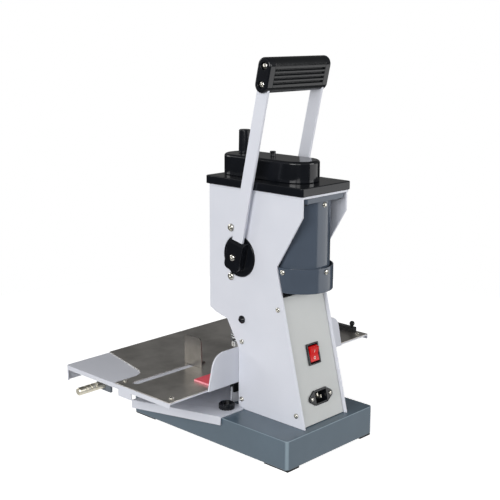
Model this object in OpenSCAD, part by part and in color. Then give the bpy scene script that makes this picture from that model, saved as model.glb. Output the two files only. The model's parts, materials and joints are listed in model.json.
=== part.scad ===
// Electric single-hole punch: a paper drill with a hand lever, a belt drive and a sliding table.
// Millimetres, +Z up, +X to the operator's right, the operator stands at -Y.
// Places are measured from the drill axis (x, y) and from the floor (z) and then moved to the part's origin.

/* [Base] */
// Width of the base pan
base_w = 193; // [180:1:230]
// Drill axis to the front of the base
base_front = 150; // [147:1:200]
// Drill axis to the rear of the base
base_rear = 175; // [172:1:220]
// Height of the base pan
base_h = 43; // [30:1:60]
// Sheet of the base pan and its floor
base_wall = 2; // [1.5:0.1:3]
// Corner radius of the base
base_corner = 6; // [3:0.5:12]
// Height of the feet
foot_h = 3; // [2:0.5:8]
// Length of a foot
foot_l = 45; // [20:1:60]
// Width of a foot
foot_w = 24; // [15:1:40]

/* [Column] */
// Width over the side plates
column_w = 97; // [95:1:101]
// Thickness of a side plate
plate_t = 3; // [2:0.25:4]
// Height of the column above the base
column_h = 329; // [325:1:360]
// Drill axis to the column's front edge
column_front = 35; // [34:0.5:40]
// Drill axis to the column's rear edge at the base
column_rear = 165; // [160:1:170]
// Drill axis to the rear edge at the waist
waist_rear = 109; // [104:1:114]
// Height of the waist above the base
waist_h = 227; // [220:1:232]
// Drill axis to the rear edge at the shoulder
shoulder_rear = 155; // [155:1:160]
// Drop of the shoulder below the column's top
shoulder_drop = 26; // [18:1:34]
// Drill axis to the front of the nose
nose_front = 25; // [24:0.5:40]
// Depth of the nose below the column's top
nose_drop = 184; // [180:1:188]
// Rise of the nose's lower edge from the throat to its front
nose_rise = 12; // [8:1:16]
// Height of the throat's corner above the base
throat_h = 94; // [85:1:100]
// Sheet of the rear, front and nose panels
panel_t = 2; // [1.5:0.1:3]
// Setback of the rear panel behind the plates' edges
panel_inset = 4.2; // [3:0.1:8]
// Height of the rear panel's top above the base
panel_h = 183; // [175:1:186]
// Depth of a panel's side flange
panel_flange = 16; // [13:1:20]
// Thread of the panel screws
panel_screw_d = 4; // [3:0.5:5]
// Thread of the casting bolts
casting_bolt_d = 6; // [5:0.5:8]
// Diameter of the hole plugs
plug_d = 12; // [9:0.5:14]

/* [Head] */
// Drop of the lever shaft below the column's top
pivot_drop = 97.2; // [94:0.1:99]
// Depth of the head casting
casting_l = 84; // [82:1:90]
// Drop of the casting's top below the column's top
casting_drop = 30; // [28:0.5:34]
// Height of the head casting
casting_h = 145; // [140:1:150]
// Thickness of the top plate
top_plate_t = 3; // [2:0.25:4]
// Height of the top cover
cover_h = 12.2; // [9:0.2:16]
// Overhang of the top cover past the side plates
cover_lip = 4.1; // [3:0.1:4.6]
// Wall of the covers
cover_wall = 2.5; // [2:0.1:3.5]
// Radius of the belt cover's ends
belt_cover_r = 30; // [29:0.5:32]
// Drill axis to the centre of the belt cover's rear end
belt_cover_rear = 105; // [104:1:112]
// Height of the belt cover
belt_cover_h = 30.3; // [28:0.1:34]
// Edge rounding of the belt cover
belt_cover_edge = 4; // [2:0.5:6]
// Height of the spindle cap
cap_h = 34.5; // [32:0.5:50]
// Diameter of the spindle cap
cap_d = 18; // [16.5:0.5:20]
// Drill axis to the belt cover's nut
nut_y = 56; // [48:1:70]
// Diameter of the belt cover's nut
nut_d = 8.5; // [8:0.5:12]
// Height of the belt cover's nut
nut_h = 7; // [5:0.5:10]

/* [Drive] */
// Diameter of the motor
motor_d = 80; // [76:1:82]
// Drill axis to the motor axis
motor_y = 113.5; // [111:0.5:114]
// Length of the motor can
motor_l = 126; // [110:1:128]
// Thickness of the motor's flange
motor_flange_t = 8; // [6:0.5:12]
// Diameter of the motor shaft
motor_shaft_d = 12; // [10:1:14]
// Pitch radius of the motor pulley
motor_pulley_r = 13; // [12:0.5:13.5]
// Pitch radius of the spindle pulley
spindle_pulley_r = 21; // [19:0.5:22]
// Width of the belt
belt_w = 10; // [8:0.5:10]
// Thickness of the belt
belt_t = 2.5; // [2:0.1:2.8]
// Outer radius of the motor strap
strap_r = 45.2; // [44.8:0.1:45.3]
// Sheet of the motor strap
strap_t = 2; // [1.5:0.1:3]
// Height of the motor strap
strap_h = 35.5; // [30:0.5:38]

/* [Quill and foot] */
// Diameter of the quill
quill_d = 40; // [39:0.5:41]
// Length of the quill
quill_l = 167; // [165:1:170]
// Diameter of the spindle
spindle_d = 12; // [12:0.5:13]
// Outer diameter of the spindle bearings
bearing_d = 28; // [27:0.5:28]
// Width of the bearings
bearing_w = 8; // [7:0.5:9]
// Module of the rack and pinion
gear_module = 2; // [1.9:0.1:2]
// Teeth of the pinion
pinion_teeth = 18; // [17:1:19]
// Diameter of the hollow drill
drill_d = 6; // [4:0.5:8]
// Wall of the hollow drill
drill_wall = 0.8; // [0.5:0.1:1]
// Outer diameter of the pressure foot
foot_d = 43; // [42:0.5:44]
// Height of the pressure foot
foot_ring_h = 10; // [9:0.5:12]
// Outer diameter of the foot's guide sleeve
sleeve_d = 28; // [27:0.5:29]
// Wire of the pressure spring
spring_wire = 2.4; // [2:0.1:2.6]
// Turns of the pressure spring
spring_turns = 10; // [8:1:11]
// Length of the pressure spring
spring_l = 44; // [42:0.5:46]
// Travel of the pressure foot
foot_travel = 16; // [8:1:17]

/* [Lever] */
// Backward lean of the lever at rest, in degrees
lever_lean = 12.5; // [8:0.5:20]
// Swing of the lever, in degrees
lever_sweep = 100; // [70:5:100]
// Diameter of the lever shaft
shaft_d = 16; // [14:0.5:18]
// Diameter of the lever's hubs
hub_d = 60; // [56:0.5:61]
// Width of a lever arm
arm_w = 20; // [18:0.5:21]
// Thickness of a lever arm
arm_t = 4; // [3:0.5:5]
// Gap between the side plate and a lever arm
arm_gap = 6; // [5.5:0.1:7]
// Shaft to the middle of the grip
grip_r = 267; // [245:1:300]
// Height of the grip's section
grip_h = 49; // [44:0.5:54]
// Thickness of the grip's section
grip_t = 23.5; // [22.5:0.5:28]
// Length of a grip end cap
cap_l = 11.5; // [10:0.5:16]
// Depth of the grip's grooves
groove_d = 1.5; // [0.8:0.1:2]

/* [Switch and inlet] */
// Height of the switch above the base, along the panel
switch_s = 99; // [92:1:120]
// Width of the switch bezel
switch_w = 25.5; // [25:0.5:28]
// Height of the switch bezel
switch_h = 31; // [31:0.5:34]
// Rock of the switch to either side, in degrees
rocker_tilt = 11; // [8:0.5:12]
// Height of the inlet above the base, along the panel
inlet_s = 36.4; // [28:0.2:44]
// Spacing of the inlet's screws
inlet_pitch = 40; // [38:0.5:42]
// Height of the inlet's flange
inlet_h = 22; // [22:0.5:26]

/* [Carriage] */
// Sheet of the carriage plate
carriage_t = 2.4; // [2:0.2:3]
// Drop of the carriage's side flanges
carriage_flange = 13; // [8:0.5:20]
// Half width of the carriage at its front
carriage_front_x = 144; // [130:1:160]
// Drill axis to the carriage's front corners
carriage_front = 98; // [90:1:106]
// Forward travel of the carriage
carriage_travel = 10; // [6:0.5:10]
// Height of the bent-up flange
upright_h = 23.5; // [18:0.5:28]
// Side of the base to a lock knob's axis
knob_edge = 28.5; // [26:0.5:32]
// Diameter of a lock knob
knob_d = 24; // [20:0.5:26]
// Height of a lock knob
knob_h = 8.5; // [8:0.5:11]
// Diameter of the lock studs
stud_d = 6; // [5:0.5:8]

/* [Table] */
// Length of the table
table_w = 455; // [452:1:480]
// Depth of the table
table_l = 240; // [235:1:260]
// Height of the table's top above the base
table_h = 43; // [42:0.5:50]
// Sideways offset of the table at rest
table_x = -43.5; // [-50:0.5:-38]
// Sheet of the table tray
tray_t = 2; // [1.5:0.1:2.5]
// Sheet of the stainless table plate
table_plate_t = 1.5; // [1:0.1:2]
// Drop of the tray's side flanges
tray_side = 7; // [6:0.5:8]
// Drop of the tray's front flange
tray_front = 24; // [16:0.5:30]
// Height of the back fence above the table
fence_h = 51; // [30:1:60]
// Length of the back fence
fence_w = 307; // [280:1:340]
// Thickness of the back fence
fence_t = 2.5; // [2:0.1:3]
// Length of the drill pad
pad_w = 283; // [260:1:300]
// Depth of the drill pad
pad_l = 38; // [30:1:38]
// Thickness of the drill pad
pad_t = 3; // [2:0.25:3.25]
// Diameter of the guide rod
rod_d = 12; // [10:0.5:14]
// Drop of the guide rod below the table's top
rod_drop = 16; // [14.5:0.5:18]
// Drill axis to the guide rod
rod_front = 130; // [125:1:134]
// Height of the side guide
guide_h = 47; // [30:1:60]
// Depth of the side guide
guide_l = 38; // [28:1:42]
// Thickness of the side guide
guide_t = 2; // [1.5:0.1:3]
// Width of the guide's slot
slot_w = 12; // [9:0.5:14]

/* [Fits] */
// Radial clearance of turning and sliding fits
fit = 0.06; // [0.03:0.01:0.08]
// Clearance of seats within one body
seat = 0.03; // [0.02:0.01:0.08]
// Gap between pieces that move past each other
gap = 0.3; // [0.2:0.05:0.5]
// Play of the gear teeth
backlash = 0.16; // [0.1:0.02:0.3]

/* [Hidden] */
$fn = 48;
coil_rings = 8;
// How far a cut runs past a face
cut = 1;
base_top = foot_h + base_h;
head_top = base_top + column_h;
plate_x = column_w / 2;
inner_x = plate_x - plate_t;
panel_x = inner_x - seat;
foot_inset = 1;

// Screws: head diameter, rim and dome as shares of the thread
head_ratio = 1.9;
rim_ratio = 0.25;
dome_ratio = 0.35;

// Rack and pinion
pressure_angle = 20;
pitch_r = gear_module * pinion_teeth / 2;
pinion_w = 24;
gear_room = 1;
rack_y = quill_d / 2 - gear_module;
rack_pitch = PI * gear_module;
rack_spare = 2;
dedendum = 1.25 * gear_module;
pivot_y = rack_y + pitch_r;
pivot_z = head_top - pivot_drop;
stroke = lever_sweep * PI / 180 * pitch_r;
rack_last = round(stroke / rack_pitch) + rack_spare;

// Column outline
throat_depth = 24;
throat_y = column_front - throat_depth;
nose_z = head_top - nose_drop;
nose_low = nose_z - nose_rise;
rear_tilt = atan2(column_rear - waist_rear, waist_h);
rear_y = column_rear - panel_inset / cos(rear_tilt);
rear_len = panel_h / cos(rear_tilt);
screw_edge = 11;
plug_set = [7, 5];
plug_y = column_front + plug_set[0];
plug_z = nose_low + plug_set[1];
plug_neck_d = plug_d - 2;
plug_rim = 1.5;
plug_dome = 3;
hub_play = 1;
front_panel_y = column_front + panel_t;
front_panel_rise = 30;
front_panel_h = throat_h + front_panel_rise;
front_screw_in = 5;
front_screw_y = front_panel_y + front_screw_in;
front_screw_h = [15, 104];
rear_screw_s = [20, 173];
casting_bolt_dy = 16;
casting_bolt_y = pivot_y - casting_bolt_dy;
casting_bolt_dz = [-32.3, 40.2];
bolt_reach = 15;
drill_run = 3;

// Head
nose_gap = 1;
casting_y = panel_t + nose_gap - nose_front;
casting_top = head_top - casting_drop;
bush_wall = 3;
bush_r = shaft_d / 2 + bush_wall;
bush_l = 11.4;
return_wire = 2;
return_r = (shaft_d / 2 + return_wire / 2 + gap) / cos(180 / coil_rings);
return_turns = 5;
return_l = 14;
return_gap = 3;
spring_bay_r = 15;
boss_r = 22;
boss_h = 24;
boss_lip = 2;
sleeve_r = 8.5;
sleeve_room = 2;
sleeve_bearing_r = 17.5;
sleeve_bearing_w = 10;
bearing_space = 1;
top_plate_lip = 2;
cover_z = head_top + top_plate_t;
cover_top = cover_z + cover_h;
cover_x = plate_x + cover_lip;
cover_corner = 4;
cover_room = 3;
cover_shift = [0.3, 1.3];
top_front = nose_front + cover_lip + cover_shift[0];
top_rear = shoulder_rear + cover_lip - cover_shift[1];
belt_cover_top = cover_top + belt_cover_h;
belt_z = cover_top + belt_cover_h / 2;
cap_room = 1;
cap_taper = 1;
cap_roof = 4;
nut_stud = 4;
nut_flutes = 12;
flute_d = 0.9;
pulley_flange_t = 2;
pulley_flange_r = 3.5;

// Motor
motor_top = head_top - motor_flange_t;
motor_bottom = motor_top - motor_l;
motor_flange_w = 84;
motor_corner = 5;
motor_screw_x = 36;
earth_drop = 1;
can_floor = 9;
can_roof = 12;
rotor_r = 28;
rotor_gap = 1.5;
rotor_room = 7;
rotor_z = motor_bottom + can_floor / 2 + gap;
strap_front = 20;
strap_drop = 1.5;
strap_z = motor_bottom - strap_t - strap_drop;
strap_screw_h = 29.5;
strap_screw_a = [5, 90, 175];

// Switch and inlet
switch_body_w = 22;
switch_body_h = 28;
switch_depth = 22;
bezel_t = 2.5;
rocker_w = 18;
rocker_l = 24.6;
rocker_room = [1, 1.2];
rocker_pocket = 9;
rocker_y = -2;
rocker_face = 7;
rocker_depth = 4;
rocker_taper = 3;
rocker_dish = 2.4;
rocker_end = 2.5;
rocker_shoulder = 1;
rocker_pin_r = 1.5;
rocker_pin_l = 1.7;
inlet_body_w = 28;
inlet_body_h = 20;
inlet_depth = 24;
inlet_flange_t = 2.5;
inlet_rim = 2;
inlet_corner = 3;
inlet_ear_d = 11;
inlet_screw_d = panel_screw_d - 1;
socket_w = 24;
socket_h = 16;
socket_depth = 16;
pin_pitch = 7;
pin_rise = 2;
pin_w = 2;
pin_h = 4;
pin_l = 9;

// Quill, spindle and foot
quill_top = casting_top;
quill_bottom = quill_top - quill_l;
sleeve_bore_h = 38;
bearing_lip = 2;
bearing_drop = 7;
low_bearing_z = quill_bottom + sleeve_bore_h;
top_bearing_z = quill_top - bearing_w - bearing_drop;
quill_core_r = 9;
spring_seat = 4;
collar_w = 3;
collar_gap = 1;
chuck_r = 10;
chuck_drop = 28;
chuck_nose = 4;
chuck_taper = 3;
chuck_bottom = quill_bottom - chuck_drop;
chuck_top = low_bearing_z - 2 * bearing_lip;
spindle_grip = 16;
spindle_bottom = chuck_top - spindle_grip;
spindle_gap = 2.5;
spindle_top = belt_cover_top + cap_h - cap_roof - spindle_gap;
drill_grip = 22;
drill_lift = 0.4;
drill_room = 1.5;
key_w = 3;
key_d = 1.5;
key_play = 0.1;
key_start = 2;
spring_bottom = quill_bottom - spring_l;
press_z = spring_bottom - foot_ring_h;
foot_edge = 2;
foot_sole = 6;
sleeve_spare = 8;
sleeve_top = quill_bottom + sleeve_bore_h - foot_travel - sleeve_spare;
spring_mean_r = foot_d / 2 - spring_wire / 2 - gap;

// Table
table_top = base_top + table_h;
table_half = table_w / 2;
tray_top = table_top - table_plate_t;
tray_bottom = tray_top - tray_t;
tray_corner = 6;
plate_inset = 0.5;
fence_gap = 0.5;
fence_y = column_front - fence_gap;
table_rear = fence_y - fence_t;
table_front = table_rear - table_l;
fence_corner_r = 24;
fence_slant = 13;
slot_y = -64.5;
slot_in = [159, 16.5];
slot_x = [table_x + table_half - slot_in[0], table_x + table_half - slot_in[1]];
band_front = -88;
pad_corner_r = 25;
pad_in = [57, 86];
pad_side = [table_half - pad_in[0], table_half - pad_in[1]];
table_screw_in = 15;
table_screw_x = table_half - table_screw_in;
table_screw_y = [20.4, -82];
tab_l = [16, 13];
tab_drop = 17;
rod_z = table_top - rod_drop;
rod_half = 215;
rod_x = 5;
rod_end = 1.5;
rod_rings = 3;
ring_start = 14;
ring_pitch = 9;
ring_w = 1.6;
hanger_in = [14, 97.5];
hanger_x = [table_x + table_half - hanger_in[0], table_x - table_half + hanger_in[1]];
hanger_t = 4;
hanger_l = 33;
hanger_drop = 4;
stop_in = 8;
stop_x = table_half - stop_in;
stop_w = 10;
stop_h = 8;
stop_y = [-40, 10];
stop_knob_y = 4;
stop_neck_d = 5;
stop_neck = 3;
stop_ball_d = 9;
guide_set = 24;
guide_x = slot_x[0] + guide_set;
guide_shift = 3.5;
guide_y = slot_y + guide_shift;
guide_foot = 20;
guide_foot_w = 16;
guide_tongue = 10;
guide_slant = 1.5;
guide_corner = 6;

// Carriage
carriage_lift = 0.2;
carriage_z = base_top + carriage_lift;
carriage_top = carriage_z + carriage_t;
carriage_play = 2.5;
column_play = 1;
knob_x = base_w / 2 - knob_edge;
knob_set = 5.5;
knob_y = column_front - knob_set;
knob_rim = 1.5;
knob_wall = 2.8;
knob_dish = 3.5;
stud_set = 3;
scallops = 16;
scallop_r = 1.4;
stud_play = 0.5;
stud_tail = 1;
carriage_tail = 18.5;
carriage_rear = knob_y + carriage_tail;
carriage_side_gap = 0.6;
carriage_rear_x = base_w / 2 + carriage_t + carriage_side_gap;
tongue_x = 70;
tongue_l = 16;
tongue_front = rod_front + tongue_l;
upright_y = 15;
upright_x = 45;
slide_w = 18;
slide_end = 2;
slide_lap = 8;
slide_wall = 3;
pad_gap = 3;
block_w = 50;
block_l = 28;
block_roof = 3;

// Lever
arm_x = plate_x + arm_gap;
arm_low = 12.5;
arm_tuck = 4;
hub_set = 0.5;
hub_in = inner_x + hub_set;
hub_proud = 1;
hub_face = plate_x + hub_proud;
hub_cover = 3.5;
hub_out = arm_x + arm_t + hub_cover;
hub_cheek = 5;
hub_block_w = arm_w + 2 * hub_cheek;
hub_block_top = 25;
hub_block_low = 19.5;
hub_corner = 8;
hub_chamfer = 5;
hub_screw_d = 5;
cap_lap = 2;
cap_in = arm_x - cap_lap;
grip_end = cap_in + cap_l;
cap_edge = 1.5;
cap_sink = 4;
cap_sink_d = 11;
grip_screw = (grip_h - grip_t) / 2;
grip_screw_in = 12;
arm_top = grip_r + grip_screw + arm_tuck;
groove_count = 4;
groove_pitch = 6.2;
groove_end = 1.5;

// The part's origin lies under the middle of its box, on the floor
box_x = [table_x - table_w / 2, rod_x + rod_half];
box_y = [table_front, base_rear];
origin = [(box_x[0] + box_x[1]) / 2, (box_y[0] + box_y[1]) / 2, 0];

// Outline in the Y-Z plane, extruded along +X from x
module yz(x, t) {
    translate([x, 0, 0])
        rotate([90, 0, 90])
            linear_extrude(t)
                children();
}

module both_sides() {
    children();
    mirror([1, 0, 0])
        children();
}

// Box between two corners
module box(low, high) {
    translate(low)
        cube(high - low);
}

module round_rect(w, l, r) {
    square([w - 2 * r, l], center = true);
    square([w, l - 2 * r], center = true);
    for (x = [-1, 1], y = [-1, 1])
        translate([x * (w / 2 - r), y * (l / 2 - r)])
            circle(r);
}

// Washer or tube standing on z = 0
module ring(r_out, r_in, h) {
    difference() {
        cylinder(r = r_out, h = h);
        translate([0, 0, -cut])
            cylinder(r = r_in, h = h + 2 * cut);
    }
}

// Screw with a domed head above z = 0 and its shank below
module screw(d, l) {
    translate([0, 0, -l])
        cylinder(d = d, h = l);
    cylinder(d = head_ratio * d, h = rim_ratio * d);
    translate([0, 0, rim_ratio * d])
        cylinder(d1 = head_ratio * d, d2 = d, h = dome_ratio * d);
}

// Frame on the right side plate, z outwards
module on_side(y, z) {
    translate([plate_x, y, z])
        rotate([0, 90, 0])
            children();
}

// Frame on the rear panel's outer face, z up the slope, y outwards
module on_rear(s = 0) {
    translate([0, rear_y, base_top])
        rotate([rear_tilt, 0, 0])
            translate([0, 0, s])
                children();
}

// Frame of the lever, shaft along x, arms along z
module on_lever() {
    translate([0, pivot_y, pivot_z])
        rotate([-lever_lean, 0, 0])
            children();
}

// Base

module base_outline(inset) {
    translate([0, (base_rear - base_front) / 2])
        round_rect(base_w - 2 * inset, base_front + base_rear - 2 * inset, base_corner - inset);
}

module base_pan() {
    color("#56677a")
        difference() {
            translate([0, 0, foot_h])
                linear_extrude(base_h)
                    base_outline(0);
            translate([0, 0, foot_h - cut])
                linear_extrude(base_h - base_wall + cut)
                    base_outline(base_wall);
            both_sides()
                translate([knob_x, knob_y, base_top - base_wall - cut])
                    linear_extrude(base_wall + 2 * cut)
                        slot_2d(stud_d + 2 * stud_play, carriage_travel, -1);
        }
}

// Slot from a round end at the origin, running along y
module slot_2d(w, l, way) {
    circle(d = w);
    translate([0, way * l])
        circle(d = w);
    translate([0, way * l / 2])
        square([w, l], center = true);
}

module base_plate() {
    color("#4d5a68")
        translate([0, 0, foot_h])
            linear_extrude(base_wall)
                base_outline(base_wall + seat);
}

module base_feet() {
    outer = (base_w - base_corner) / 2;
    color("#202226")
        for (y = [foot_inset - base_front, base_rear - foot_l - foot_inset])
            both_sides()
                box([outer - foot_w, y, 0], [outer, y + foot_l, foot_h]);
}

// Column

module plate_outline() {
    polygon([
        [column_rear, base_top],
        [waist_rear, base_top + waist_h],
        [shoulder_rear, head_top - shoulder_drop],
        [shoulder_rear, head_top],
        [-nose_front, head_top],
        [-nose_front, nose_z],
        [-nose_front / 2, nose_z - nose_rise / 2],
        [throat_y, nose_low],
        [column_front, base_top + throat_h],
        [column_front, base_top]]);
}

// Places of the panel screws on the right side plate
module at_panel_screws() {
    for (h = front_screw_h)
        translate([plate_x, front_screw_y, base_top + h])
            rotate([0, 90, 0])
                children();
    for (s = rear_screw_s)
        on_rear(s)
            translate([plate_x, panel_inset - screw_edge, 0])
                rotate([0, 90, 0])
                    children();
}

module at_casting_bolts() {
    for (dz = casting_bolt_dz)
        on_side(casting_bolt_y, pivot_z + dz)
            children();
}

module right_side_plate() {
    color("#d3d6e0")
        difference() {
            yz(inner_x, plate_t)
                plate_outline();
            translate([inner_x - cut, pivot_y, pivot_z])
                rotate([0, 90, 0])
                    cylinder(d = hub_d + 2 * hub_play, h = plate_t + 2 * cut, $fn = 96);
            at_panel_screws()
                translate([0, 0, -plate_t - cut])
                    cylinder(d = panel_screw_d + 2 * seat, h = plate_t + 2 * cut);
            at_casting_bolts()
                translate([0, 0, -plate_t - cut])
                    cylinder(d = casting_bolt_d + 2 * seat, h = plate_t + 2 * cut);
            on_side(plug_y, plug_z)
                translate([0, 0, -plate_t - cut])
                    cylinder(d = plug_neck_d + 2 * seat, h = plate_t + 2 * cut);
        }
}

module left_side_plate() {
    mirror([1, 0, 0])
        right_side_plate();
}

module hole_plugs() {
    color("#15171c")
        both_sides()
            on_side(plug_y, plug_z) {
                translate([0, 0, -plate_t])
                    cylinder(d = plug_neck_d, h = plate_t);
                cylinder(d = plug_d, h = plug_rim);
                translate([0, 0, plug_rim])
                    cylinder(d1 = plug_d, d2 = plug_d / 2, h = plug_dome);
            }
}

module panel_screws() {
    color("#c9c9c4") {
        both_sides()
            at_panel_screws()
                screw(panel_screw_d, plate_t + panel_t);
        both_sides()
            on_rear(inlet_s)
                translate([inlet_pitch / 2, inlet_flange_t, 0])
                    rotate([-90, 0, 0])
                        screw(inlet_screw_d, inlet_flange_t + panel_t);
        translate([0, motor_y, strap_z])
            at_strap_screws()
                screw(panel_screw_d, strap_r - motor_d / 2 - seat);
        translate([0, motor_y + motor_d / 2, motor_top - panel_screw_d - earth_drop])
            rotate([-90, 0, 0])
                translate([0, 0, seat])
                    screw(panel_screw_d, seat / 2);
    }
}

module casting_bolts() {
    color("#c9c9c4")
        both_sides()
            at_casting_bolts()
                screw(casting_bolt_d, plate_t + bolt_reach);
}

module rear_panel() {
    color("#c5c9c8")
        difference() {
            on_rear() {
                box([-panel_x, -panel_t, cut], [panel_x, 0, rear_len]);
                both_sides()
                    box([panel_x - panel_t, -panel_flange, panel_flange / 2], [panel_x, -panel_t, rear_len]);
            }
            on_rear(switch_s)
                cube([switch_body_w + 2 * seat, 3 * panel_t, switch_body_h + 2 * seat], center = true);
            on_rear(inlet_s)
                cube([inlet_body_w + 2 * seat, 3 * panel_t, inlet_body_h + 2 * seat], center = true);
            both_sides()
                on_rear(inlet_s)
                    translate([inlet_pitch / 2, cut, 0])
                        rotate([90, 0, 0])
                            cylinder(d = inlet_screw_d + 2 * seat, h = panel_t + 2 * cut);
            both_sides()
                at_panel_screws()
                    translate([0, 0, -plate_t - panel_t - cut])
                        cylinder(d = panel_screw_d + 2 * seat, h = plate_t + panel_t + 2 * cut);
        }
}

module front_panel() {
    color("#c5c9c8")
        difference() {
            union() {
                box([-panel_x, front_panel_y, base_top],
                    [panel_x, front_panel_y + panel_t, base_top + front_panel_h]);
                both_sides()
                    box([panel_x - panel_t, front_panel_y + panel_t, base_top],
                        [panel_x, front_panel_y + panel_flange, base_top + front_panel_h]);
            }
            both_sides()
                at_panel_screws()
                    translate([0, 0, -plate_t - panel_t - cut])
                        cylinder(d = panel_screw_d + 2 * seat, h = plate_t + panel_t + 2 * cut);
        }
}

module nose_panel() {
    color("#d3d6e0")
        box([-panel_x, -nose_front, nose_z], [panel_x, panel_t - nose_front, head_top]);
}

// Head

module head_casting() {
    color("#9a9ea4")
        difference() {
            box([-panel_x, casting_y, casting_top - casting_h],
                [panel_x, casting_y + casting_l, casting_top]);
            translate([0, 0, casting_top - casting_h - cut])
                cylinder(r = quill_d / 2 + fit, h = casting_h + 2 * cut, $fn = 96);
            translate([0, pivot_y, pivot_z])
                rotate([0, 90, 0]) {
                    cylinder(r = pitch_r + gear_module + gear_room, h = pinion_w + 2 * gear_room,
                        center = true, $fn = 96);
                    cylinder(r = spring_bay_r, h = 2 * (panel_x - bush_l), center = true);
                    cylinder(r = bush_r + seat, h = 2 * panel_x + 2 * cut, center = true);
                }
            both_sides()
                at_casting_bolts()
                    translate([0, 0, -plate_t - bolt_reach - drill_run])
                        cylinder(d = casting_bolt_d + 2 * seat, h = plate_t + bolt_reach + drill_run);
        }
}

module shaft_bushes() {
    color("#b08d4f")
        both_sides()
            translate([panel_x - bush_l, pivot_y, pivot_z])
                rotate([0, 90, 0])
                    ring(bush_r, shaft_d / 2 + fit, bush_l);
}

module top_plate() {
    color("#d9dce2")
        difference() {
            union() {
                box([-plate_x, -nose_front, head_top], [plate_x, shoulder_rear + top_plate_lip, cover_z]);
                translate([0, 0, head_top - boss_h])
                    cylinder(r = boss_r, h = boss_h);
            }
            translate([0, 0, head_top - boss_h - cut])
                cylinder(r = sleeve_bearing_r + seat, h = boss_h + cut);
            cylinder(r = sleeve_r + sleeve_room, h = cover_z + cut);
            translate([0, motor_y, head_top - cut])
                cylinder(r = motor_shaft_d / 2 + sleeve_room, h = top_plate_t + 2 * cut);
            at_flange_screws()
                translate([0, 0, -cut - motor_flange_t - top_plate_t])
                    cylinder(d = panel_screw_d + 2 * seat, h = motor_flange_t + top_plate_t + 2 * cut);
        }
}

module pulley_bearings() {
    color("#b9bcc0")
        for (k = [0, 1])
            translate([0, 0, head_top - boss_h + boss_lip + k * (sleeve_bearing_w + bearing_space)])
                ring(sleeve_bearing_r, sleeve_r + fit, sleeve_bearing_w);
}

module top_cover() {
    color("#15171c")
        difference() {
            translate([0, (top_rear - top_front) / 2, cover_z])
                linear_extrude(cover_h)
                    round_rect(2 * cover_x, top_front + top_rear, cover_corner);
            translate([0, (top_rear - top_front) / 2, cover_z - cut])
                linear_extrude(cover_h - cover_wall + cut)
                    round_rect(2 * (cover_x - cover_wall), top_front + top_rear - 2 * cover_wall,
                        cover_corner / 2);
            for (y = [0, motor_y])
                translate([0, y, cover_z])
                    cylinder(r = sleeve_r + cover_room, h = cover_h + cut);
        }
}

// Section of the belt cover with a rounded upper edge
module cover_section(r, h, edge) {
    square([r - edge, h]);
    square([r, h - edge]);
    translate([r - edge, h - edge])
        circle(edge);
}

module cover_form(r, h, edge) {
    for (y = [0, belt_cover_rear])
        translate([0, y, 0])
            rotate_extrude($fn = 96)
                intersection() {
                    cover_section(r, h, edge);
                    square([r, h]);
                }
    translate([0, belt_cover_rear, 0])
        rotate([90, 0, 0])
            linear_extrude(belt_cover_rear) {
                cover_section(r, h, edge);
                mirror([1, 0])
                    cover_section(r, h, edge);
            }
}

module belt_cover() {
    color("#15171c")
        difference() {
            translate([0, 0, cover_top])
                cover_form(belt_cover_r, belt_cover_h, belt_cover_edge);
            translate([0, 0, cover_top - cut])
                cover_form(belt_cover_r - cover_wall, belt_cover_h - cover_wall + cut,
                    belt_cover_edge - cover_wall / 2);
            translate([0, 0, belt_cover_top - cover_wall - cut])
                cylinder(r = spindle_d / 2 + cap_room, h = cover_wall + 2 * cut);
            translate([0, nut_y, belt_cover_top - cover_wall - cut])
                cylinder(d = nut_d / 2 + 2 * seat, h = cover_wall + 2 * cut);
        }
}

module spindle_cap() {
    color("#15171c")
        difference() {
            translate([0, 0, belt_cover_top])
                cylinder(d1 = cap_d, d2 = cap_d - cap_taper, h = cap_h);
            translate([0, 0, belt_cover_top - cut])
                cylinder(r = spindle_d / 2 + cap_room, h = cap_h - cap_roof + cut);
        }
}

module belt_cover_nut() {
    color("#15171c")
        translate([0, nut_y, belt_cover_top + gap])
            difference() {
                union() {
                    cylinder(d = nut_d, h = nut_h);
                    translate([0, 0, -gap - cover_wall - nut_stud])
                        cylinder(d = nut_d / 2, h = cover_wall + nut_stud + 2 * gap);
                }
                for (k = [0 : nut_flutes - 1])
                    rotate([0, 0, 360 * k / nut_flutes])
                        translate([nut_d / 2, 0, flute_d])
                            cylinder(d = flute_d, h = nut_h - 2 * flute_d, $fn = 16);
            }
}

// Motor and belt

module at_flange_screws() {
    translate([0, motor_y, head_top + top_plate_t])
        for (x = [-1, 1], y = [-1, 1])
            translate([x * motor_screw_x, y * motor_screw_x, 0])
                children();
}

module motor_can() {
    color("#525a6a")
        difference() {
            translate([0, motor_y, 0]) {
                translate([0, 0, motor_bottom])
                    cylinder(d = motor_d, h = motor_l, $fn = 96);
                translate([0, 0, motor_top])
                    linear_extrude(motor_flange_t)
                        round_rect(motor_flange_w, motor_flange_w, motor_corner);
            }
            translate([0, motor_y, motor_bottom + can_floor])
                cylinder(r = rotor_r + rotor_gap, h = motor_l - can_floor - can_roof);
            translate([0, motor_y, motor_bottom + can_floor / 2])
                cylinder(d = motor_shaft_d + 2 * fit, h = motor_l + motor_flange_t);
            at_flange_screws()
                translate([0, 0, -cut - motor_flange_t - top_plate_t])
                    cylinder(d = panel_screw_d + 2 * seat, h = motor_flange_t + top_plate_t + 2 * cut);
        }
}

module strap_2d(r) {
    circle(r);
    translate([-r, -strap_front])
        square([2 * r, strap_front]);
}

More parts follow.
